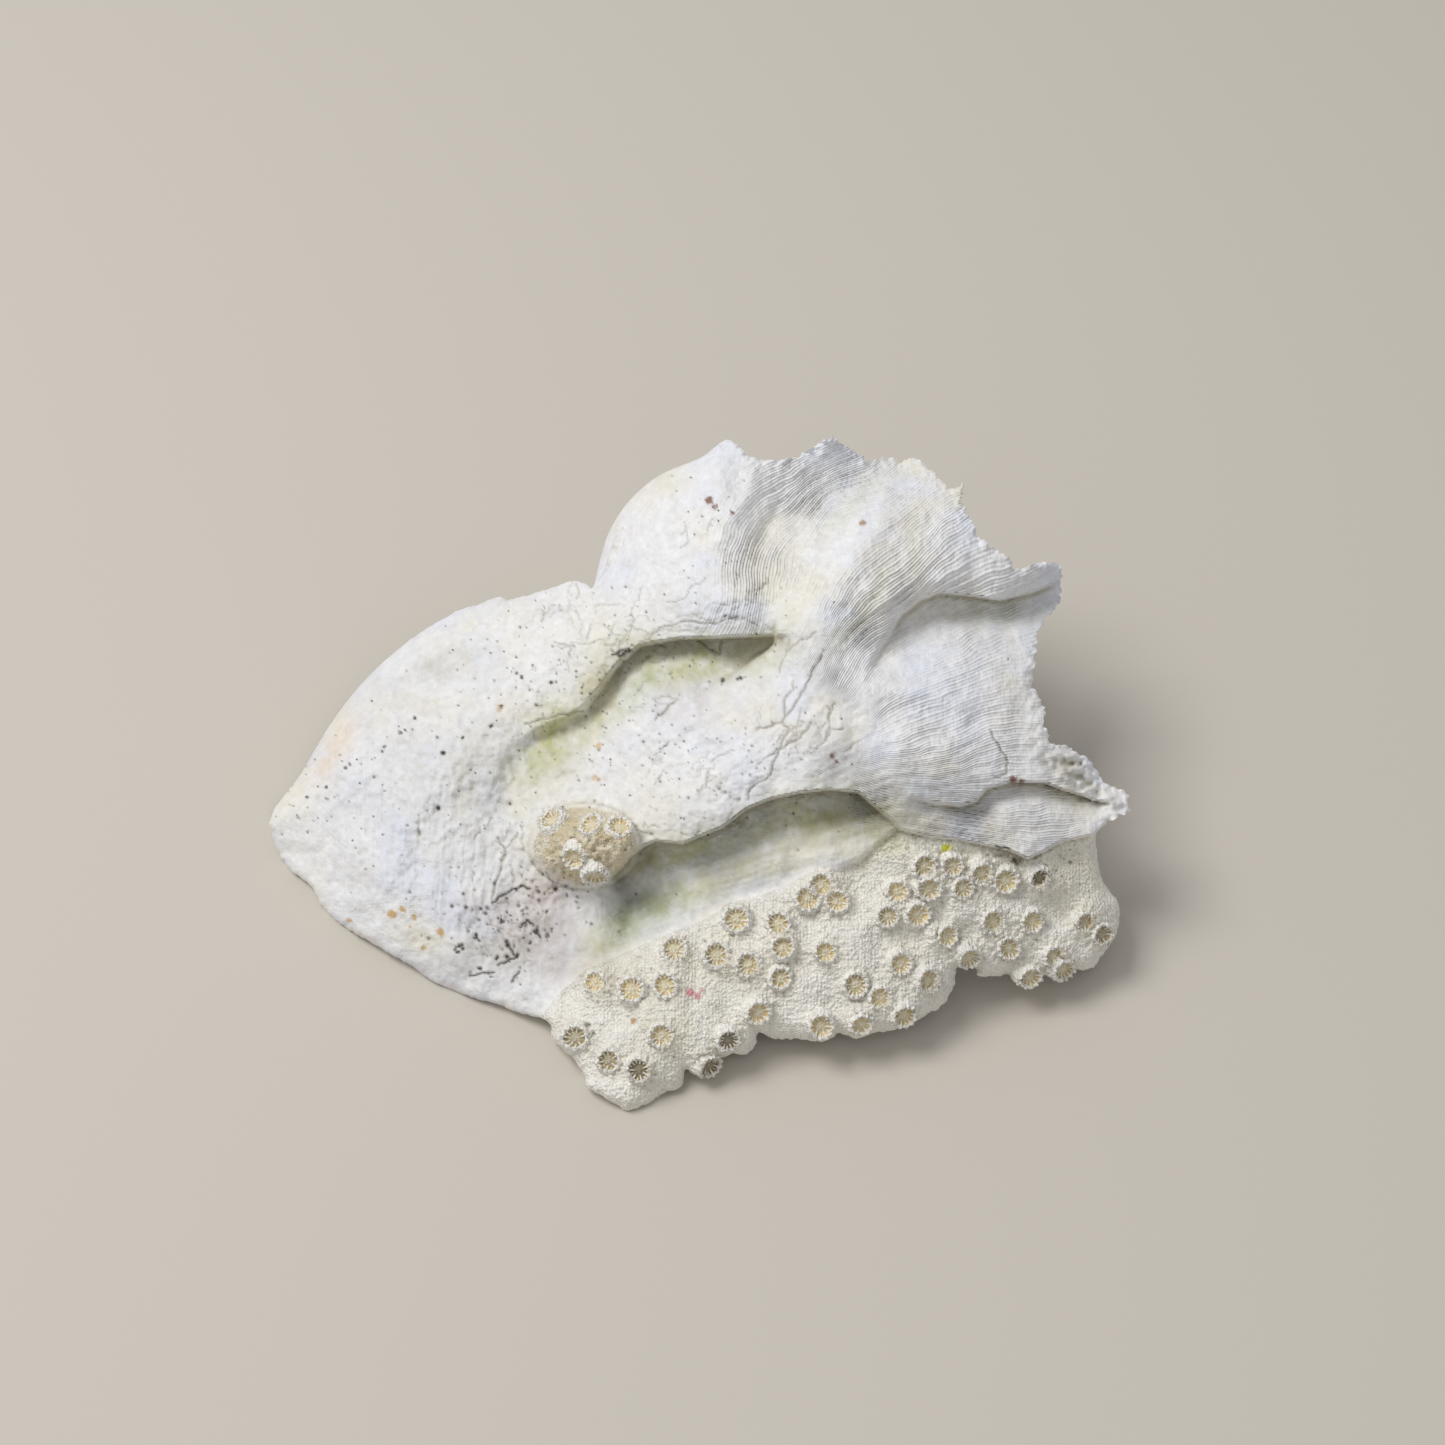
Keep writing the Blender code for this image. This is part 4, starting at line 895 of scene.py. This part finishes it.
def front_colour(fields):
    """Colour of the front surface at each point of the relief."""
    x = fields["x"]
    y = fields["y"]
    colour = mixed(np.tile(WHITE, (len(x), 1)), FROND_WHITE, fields["grain"])
    tone = 0.035 * noise(x / 30, y / 30, 31) + 0.035 * noise(x / 7, y / 7, 32)
    tone = tone + 0.03 * noise(x / 3, y / 3, 47)
    colour = colour * (1 + tone)[:, None]
    colour = mixed(colour, CREAM, 0.34 * noise(x / 60, y / 60, 33) + 0.16 * noise(x / 18, y / 18, 37))
    cool = 0.7 * noise(x / 44, y / 44, 39) + 0.2 * noise(x / 11, y / 11, 40)
    colour = mixed(colour, COOL, cool * (1 - fields["grain"]))
    # painted shade: the lobe made darker around its lower middle, where it turns away from the light
    colour = colour * (1 - 0.08 * swelling(x, y, 395, 810, 150, 150, 0))[:, None]
    mottle = np.clip(0.8 + 0.4 * noise(x / 13, y / 13, 34) + 0.25 * noise(x / 5, y / 5, 35), 0, 1.3)
    for cx, cy, along, across, heading, strength, tint in STAINS:
        colour = mixed(colour, tint, strength * swelling(x, y, cx, cy, along, across, heading) * mottle)
    cos = math.cos(FLOW_HEADING)
    sin = math.sin(FLOW_HEADING)
    flow = noise((x * cos + y * sin) / 60, (y * cos - x * sin) / 7, 46)
    colour = mixed(colour, UMBER, 0.55 * flow * swelling(x, y, 790, 838, 120, 36, -12))
    for cx, cy, radius, tint in SPOTS:
        distance = np.hypot(x - cx, y - cy) + 1.6 * noise(x / 2.5, y / 2.5, 36)
        colour = mixed(colour, tint, 0.9 * smoothstep(radius * 1.2, radius * 0.6, distance))
    for cx, cy in FROND_CUPS + KNOB_CUPS:
        radius = np.hypot(x - cx, y - cy)
        # painted shadow: a tan patch down and to the right of each cup, where its shadow falls
        painted_cup_shadow = np.exp(-(np.hypot(x - cx - 4, y - cy - 3) / 14) ** 2)
        colour = mixed(colour, CUP_TAN, 0.7 * smoothstep(10, 7, radius) + 0.24 * painted_cup_shadow)
    colour = mixed(colour, KNOB_TAN, fields["knob"] * (0.60 + 0.30 * noise(x / 6, y / 6, 45)))
    # painted shade in the recesses
    colour = mixed(colour, CAVITY_SHADE_AND_GRIME, 0.7 * fields["hollow"])
    colour = mixed(colour, CRACK_BROWN, 0.62 * fields["crack"])
    return np.clip(mixed(colour, DARK, fields["black"]), 0, 1)


def back_colour(x, y):
    """Colour of the hidden living side."""
    colour = np.tile(FROND_WHITE, (len(x), 1))
    colour = colour * (1 + 0.04 * noise(x / 28, y / 28, 41) + 0.03 * noise(x / 8, y / 8, 42))[:, None]
    return np.clip(mixed(colour, CREAM, 0.25 * noise(x / 60, y / 60, 43)), 0, 1)


def to_scene(points):
    """Millimetres above the uncut form to metres above the table."""
    moved = np.array(points, float)
    moved[..., 2] = np.maximum(moved[..., 2] - TABLE_CUT, 0)
    return moved * 0.001


def point_normals(points, quads):
    """Smooth normals of a sheet of quads; a triangle is a quad with its third corner repeated."""
    flat = np.cross(points[quads[:, 2]] - points[quads[:, 0]], points[quads[:, 3]] - points[quads[:, 1]])
    normals = np.zeros(points.shape)
    for k in range(4):
        np.add.at(normals, quads[:, k], flat)
    return unit(normals)


def two_sided_normals(front, back, quads):
    """Smooth normals of a sheet's front points and then of its back points."""
    return np.vstack((point_normals(front, quads), point_normals(back, quads[:, ::-1])))


def add_piece(name, sheet, kept, faces, material):
    """One object from the kept points of a sheet, with the colour and growth lines of each point."""
    mesh = bpy.data.meshes.new(name)
    mesh.from_pydata(sheet["points"][kept].tolist(), [], faces)
    tint = mesh.color_attributes.new("tint", "FLOAT_COLOR", "POINT")
    rgba = np.ones((len(kept), 4), np.float32)
    rgba[:, :3] = sheet["colours"][kept]
    tint.data.foreach_set("color", rgba.ravel())
    for key in ("rib_number", "rib_size"):
        if key in sheet:
            values = mesh.attributes.new(key, "FLOAT", "POINT")
            values.data.foreach_set("value", sheet[key][kept].astype(np.float32))
    mesh.polygons.foreach_set("use_smooth", np.ones(len(faces), bool))
    mesh.materials.append(material)
    mesh.update()
    piece = bpy.data.objects.new(name, mesh)
    bpy.context.scene.collection.objects.link(piece)
    return piece


def rim_walls(part, is_triangle, count):
    """Quads from the open edges of the front faces to the back points, which come count places later."""
    edges = np.vstack((part[:, (0, 1)], part[:, (1, 2)], part[~is_triangle][:, (2, 3)], part[:, (3, 0)]))
    code = edges[:, 0] * count + edges[:, 1]
    reverse = edges[:, 1] * count + edges[:, 0]
    rim = edges[~np.isin(code, reverse)]
    return np.column_stack((rim[:, 1], rim[:, 0], rim[:, 0] + count, rim[:, 1] + count))


def closed_piece(name, sheet, part, material):
    """The given front faces, the back faces behind them and the walls around them."""
    count = len(sheet["points"]) // 2
    is_triangle = part[:, 2] == part[:, 3]
    walls = rim_walls(part, is_triangle, count)
    points = sheet["points"]
    normals = sheet["normals"]
    flat = np.cross(points[walls[:, 2]] - points[walls[:, 0]], points[walls[:, 3]] - points[walls[:, 1]])
    outward = np.zeros((count, 3))
    np.add.at(outward, walls[:, 1], flat)
    np.add.at(outward, walls[:, 0], flat)
    outward = unit(outward)
    kept = np.unique(np.concatenate((part.ravel(), part.ravel() + count)))
    renumber = np.zeros(2 * count, int)
    renumber[kept] = np.arange(len(kept))
    quads = part[~is_triangle]
    triangles = part[is_triangle][:, :3]
    quads = np.vstack((quads, quads[:, ::-1] + count))
    triangles = np.vstack((triangles, triangles[:, ::-1] + count))
    faces = renumber[np.vstack((quads, walls))].tolist() + renumber[triangles].tolist()
    piece = add_piece(name, sheet, kept, faces, material)
    rounded = unit(outward[walls % count] + 0.6 * normals[walls]).reshape(-1, 3)
    corner_normals = np.vstack((normals[quads].reshape(-1, 3), rounded, normals[triangles].reshape(-1, 3)))
    piece.data.normals_split_custom_set(corner_normals.tolist())
    return piece


def relief_pieces(plate_material, frond_material):
    """The plate and the frond, cut into closed pieces along lines of the grid."""
    fields = relief_fields()
    x = fields["x"]
    y = fields["y"]
    count = len(x)
    index = -np.ones(fields["used"].shape, int)
    index[fields["used"]] = np.arange(count)
    corners = np.stack((index[:-1, :-1], index[1:, :-1], index[1:, 1:], index[:-1, 1:]), axis=-1)
    corners = corners.reshape(-1, 4)
    filled = (corners >= 0).sum(axis=1)
    three = corners[filled == 3]
    three = three[three >= 0].reshape(-1, 3)
    quads = np.vstack((corners[filled == 4], three[:, (0, 1, 2, 2)]))
    front = to_scene(seen(x, y, fields["front"]))
    back = to_scene(seen(x, y, fields["back"]))
    normals = two_sided_normals(front, back, quads)
    sheet = {"points": np.vstack((front, back)), "normals": normals,
             "colours": np.vstack((front_colour(fields), back_colour(x, y))),
             "rib_number": np.concatenate((rib_number(x, y), 0 * x)),
             "rib_size": np.concatenate((rib_size(x, y) * (1 - fields["grain"]), 0 * x))}
    centre = x[quads].mean(axis=1)
    region = np.where(centre < LOBE_END, 0, np.where(centre < RIDGES_END, 1, 2))
    region = np.where(fields["grain"][quads].mean(axis=1) > 0.5, 3, region)
    pieces = []
    for number, name in enumerate(("lobe", "ridges", "fan", "frond")):
        material = frond_material if name == "frond" else plate_material
        pieces.append(closed_piece(name, sheet, quads[region == number], material))
    return pieces


def skirt_piece(material):
    """The sheet behind the fan, with growth lines along its lower edge."""
    columns, steps = SKIRT_GRID
    count = columns * steps
    outer, normal = skirt_sheet(columns, steps)
    u = np.repeat(np.linspace(0, 100, columns)[:, None], steps, axis=1)
    v = np.repeat(np.linspace(0, 100, steps)[None], columns, axis=0)
    fade = smoothstep(5, 20, v)
    sideways = unit(np.gradient(outer, axis=0))
    ragged = (1.4 * noise(v / 13, u / 150, 58) + 0.6 * noise(v / 4, u / 150, 59)) * fade
    outer = outer + sideways * (ragged * np.exp(-np.minimum(u, 100 - u) / 7))[..., None]
    inner = outer - normal * SKIRT_THICKNESS
    rib = v * 0.34 + 0.5 * noise(u / 14, v / 20, 51)
    bump = 0.12 * np.cos(math.tau * rib) + 0.4 * noise(u / 9, v / 12, 52) + 0.15 * noise(u / 3, v / 4, 53)
    outer = outer + normal * ((bump - 0.1) * fade - SKIRT_TUCK * (1 - fade))[..., None]
    points = to_scene(np.vstack((outer.reshape(-1, 3), inner.reshape(-1, 3))))
    a = (np.arange(columns - 1)[:, None] * steps + np.arange(steps - 1)[None]).ravel()
    quads = np.column_stack((a, a + 1, a + steps + 1, a + steps))
    if (point_normals(points[:count], quads) * normal.reshape(-1, 3)).sum() < 0:
        quads = quads[:, ::-1]
    normals = two_sided_normals(points[:count], points[count:], quads)
    u = u.ravel()
    v = v.ravel()
    colour = np.tile(WHITE, (count, 1)) * (1 + 0.04 * noise(u / 7, v / 7, 54))[:, None]
    colour = mixed(colour, CREAM, 0.3 + 0.5 * noise(u / 22, v / 22, 55))
    colour = mixed(colour, COOL, 0.5 * noise(u / 16, v / 16, 56))
    colour = mixed(colour, CAVITY_SHADE_AND_GRIME, 1.5 * noise(u / 1.4, v / 3.5, 57) - 0.8)
    sheet = {"points": points, "normals": normals, "colours": np.vstack((colour, back_colour(u * 6, v * 6)))}
    return closed_piece("skirt", sheet, quads, material)


def add_partition(points, faces, tones, angle, inside, rng):
    """Adds one thin partition of a cup, which runs from its wall to the radius inside."""
    side = np.array((-math.sin(angle), math.cos(angle), 0.0))
    out = np.array((math.cos(angle), math.sin(angle), 0.0))
    base = len(points)
    steps = len(PARTITION_TOPS) - 1
    for ring, top in enumerate(PARTITION_TOPS):
        radius = PARTITION_OUTSIDE + (inside - PARTITION_OUTSIDE) * ring / steps
        half = 0.045 + 0.085 * radius
        crest = top + 0.04 * rng.normal()
        for share, z in ((-1, PARTITION_FOOT), (-0.6, crest), (0.6, crest), (1, PARTITION_FOOT)):
            points.append(tuple(out * radius + side * (share * half) + np.array((0, 0, z))))
            tones.append(0.9 if z < 0 else 0.05)
    for ring in range(steps):
        for j in range(4):
            a = base + ring * 4 + j
            b = base + ring * 4 + (j + 1) % 4
            faces.append([a, a + 4, b + 4, b])
    faces.append([base + 3, base + 2, base + 1, base])
    faces.append([base + steps * 4 + j for j in range(4)])


def cup_template(septa, rng):
    """One cup of unit radius: its wall and floor, and the thin partitions that stand inside."""
    sides = septa * 3
    points = []
    faces = []
    tones = []
    for radius, height, tone in CUP_PROFILE:
        for k in range(sides):
            angle = math.tau * k / sides
            tooth = math.cos(angle * septa)
            rim = 1.0 if 0.72 < radius < 1.1 else 0.0
            r = radius * (1 + 0.07 * rim * tooth + 0.05 * rng.normal() * rim)
            z = height + 0.09 * rim * tooth + 0.05 * rng.normal() * (radius > 0.7)
            points.append((r * math.cos(angle), r * math.sin(angle), z))
            tones.append(tone)
    points.append((0.0, 0.0, CUP_MIDDLE))
    tones.append(2.0)
    last = (len(CUP_PROFILE) - 1) * sides
    for ring in range(0, last, sides):
        for k in range(sides):
            a = ring + k
            b = ring + (k + 1) % sides
            faces.append([a, b, b + sides, a + sides])
    for k in range(sides):
        faces.append([last + k, last + (k + 1) % sides, last + sides])
    faces.append(list(reversed(range(sides))))
    for k in range(septa):
        add_partition(points, faces, tones, math.tau * k / septa, PARTITION_INSIDE[k % 2], rng)
    return np.array(points), faces, np.array(tones)


def cups_piece(name, places, material, seed):
    """Joins one cup at each place: point, axis, scale and how dark it is inside."""
    rng = np.random.default_rng(seed)
    all_points = []
    all_faces = []
    all_colours = []
    offset = 0
    for place, axis, scale, dark in places:
        points, faces, tones = cup_template(int(rng.choice(PARTITION_COUNTS)), rng)
        points = points * np.array((1.0, rng.uniform(0.88, 1.0), 1.0)) * CUP_RADIUS * scale
        turn = Vector((0, 0, 1)).rotation_difference(Vector(axis)).to_matrix()
        spin = Matrix.Rotation(rng.uniform(0, math.tau), 3, "Z")
        points = points @ np.array(turn @ spin).T + np.array(place)
        tan = np.array(CUP_TAN) * rng.uniform(0.85, 1.3)
        tones = tones + 0.06 * rng.normal(size=len(tones))
        colour = mixed(np.tile(CUP_WALL, (len(tones), 1)), tan, tones)
        colour = mixed(colour, CUP_FLOOR, tones - 1)
        colour = mixed(colour, DARK, dark * np.clip(tones * 1.5, 0, 1))
        all_colours.append(np.clip(colour, 0, 1))
        all_faces.extend([[i + offset for i in face] for face in faces])
        all_points.append(points)
        offset += len(points)
    sheet = {"points": to_scene(np.vstack(all_points)), "colours": np.vstack(all_colours)}
    return add_piece(name, sheet, np.arange(offset), all_faces, material)


def front_cups():
    """Places of the cups on the frond and the knob."""
    rng = np.random.default_rng(61)
    places = []
    for cup in FROND_CUPS + KNOB_CUPS:
        place, normal = surface_frame(*cup)
        axis = normal + np.array((0.10, -0.12, -0.05)) + rng.normal(0, 0.07, 3)
        axis /= np.linalg.norm(axis)
        places.append((place + normal * 0.35, axis, rng.uniform(0.88, 1.06), DARK_INSIDE_CUPS.get(cup, 0.0)))
    return places


def node(tree, kind, **values):
    """A node with the given inputs set, those of two words with an underscore."""
    made = tree.nodes.new(kind)
    for key, value in values.items():
        made.inputs[key.replace("_", " ")].default_value = value
    return made


def maths(tree, operation, first, second):
    """A node for one sum on two outputs or numbers."""
    made = tree.nodes.new("ShaderNodeMath")
    made.operation = operation
    for socket, value in zip(made.inputs, (first, second)):
        if isinstance(value, (int, float)):
            socket.default_value = value
        else:
            tree.links.new(value, socket)
    return made.outputs[0]


def coral_material(name, grain_size, grain_height, valley_shade):
    """Dry skeleton: the colour of each point with fine mottling, grains in relief and fine growth lines."""
    material = bpy.data.materials.new(name)
    material.use_nodes = True
    tree = material.node_tree
    shader = tree.nodes["Principled BSDF"]
    shader.inputs["Roughness"].default_value = 0.86
    shader.inputs["Specular IOR Level"].default_value = 0.25
    place = tree.nodes.new("ShaderNodeTexCoord").outputs["Object"]
    attributes = []
    for key in ("tint", "rib_number", "rib_size"):
        attribute = tree.nodes.new("ShaderNodeAttribute")
        attribute.attribute_name = key
        attributes.append(attribute)
    tint, rib_count, rib_height = attributes
    mottle = node(tree, "ShaderNodeTexNoise", Scale=700, Detail=5)
    grains = node(tree, "ShaderNodeTexVoronoi", Scale=1000 / grain_size)
    grains.inputs["Randomness"].default_value = 0.6
    fine = node(tree, "ShaderNodeTexNoise", Scale=2600, Detail=4)
    for texture in (mottle, grains, fine):
        tree.links.new(place, texture.inputs["Vector"])
    spine = maths(tree, "POWER", grains.outputs["Distance"], 0.5)
    shade = maths(tree, "MULTIPLY_ADD", mottle.outputs["Fac"], 0.26)
    # painted shade: the colour darker between the grains, away from their peaks
    shade.node.inputs[2].default_value = 0.87 + 0.6 * valley_shade
    shade = maths(tree, "SUBTRACT", shade, maths(tree, "MULTIPLY", spine, valley_shade))
    colour = tree.nodes.new("ShaderNodeVectorMath")
    colour.operation = "SCALE"
    tree.links.new(tint.outputs["Color"], colour.inputs[0])
    tree.links.new(shade, colour.inputs["Scale"])
    tree.links.new(colour.outputs["Vector"], shader.inputs["Base Color"])
    wave = maths(tree, "COSINE", maths(tree, "MULTIPLY", rib_count.outputs["Fac"], 2 * math.tau), 0.0)
    lines = maths(tree, "MULTIPLY", maths(tree, "MULTIPLY", wave, rib_height.outputs["Fac"]), 0.25)
    rough = maths(tree, "SUBTRACT", maths(tree, "MULTIPLY", fine.outputs["Fac"], 0.5), spine)
    height = maths(tree, "ADD", lines, maths(tree, "MULTIPLY", rough, grain_height))
    bump = node(tree, "ShaderNodeBump", Strength=1.0, Distance=0.001)
    tree.links.new(height, bump.inputs["Height"])
    tree.links.new(bump.outputs["Normal"], shader.inputs["Normal"])
    return material


def studio():
    """The floor, the soft light from the left and the camera."""
    paper = bpy.data.materials.new("floor_paper")
    paper.use_nodes = True
    shader = paper.node_tree.nodes["Principled BSDF"]
    shader.inputs["Base Color"].default_value = FLOOR_COLOUR
    shader.inputs["Roughness"].default_value = 0.9
    bpy.ops.mesh.primitive_plane_add(size=6.0, location=(0, 0, 0))
    floor = bpy.context.object
    floor.name = "floor"
    floor.data.materials.append(paper)

    light = bpy.data.lights.new("key", "AREA")
    light.energy = KEY_POWER
    light.size = KEY_SIZE
    light.color = KEY_COLOUR
    key = bpy.data.objects.new("key", light)
    key.location = KEY_PLACE
    key.rotation_euler = (Vector(KEY_TARGET) - key.location).to_track_quat("-Z", "Y").to_euler()
    bpy.context.scene.collection.objects.link(key)

    world = bpy.data.worlds.new("studio")
    world.use_nodes = True
    background = world.node_tree.nodes["Background"]
    background.inputs["Color"].default_value = SKY_COLOUR
    background.inputs["Strength"].default_value = SKY_STRENGTH
    bpy.context.scene.world = world
    bpy.context.scene.view_settings.view_transform = "Standard"

    lens = bpy.data.cameras.new("camera")
    lens.lens = lens.sensor_width * EYE_DISTANCE / (FRAME_PIXELS * PIXEL)
    camera = bpy.data.objects.new("camera", lens)
    camera.location = (EYE - np.array((0, 0, TABLE_CUT))) * 0.001
    camera.rotation_euler = (math.pi / 2 - VIEW_ELEVATION, 0, 0)
    bpy.context.scene.collection.objects.link(camera)
    bpy.context.scene.camera = camera


def main():
    plate_material = coral_material("plate_skeleton", grain_size=0.55, grain_height=0.08, valley_shade=0.08)
    frond_material = coral_material("frond_skeleton", grain_size=0.52, grain_height=0.42, valley_shade=0.50)
    pieces = relief_pieces(plate_material, frond_material)
    pieces.append(skirt_piece(plate_material))
    pieces.append(cups_piece("cups", front_cups(), frond_material, 71))
    hidden = [(place, axis, HIDDEN_CUP_SCALE, 0.0) for place, axis in hidden_places()]
    pieces.append(cups_piece("under_cups", hidden, frond_material, 72))
    for piece in pieces:
        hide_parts("coral")
        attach(piece, "root")
    studio()


main()
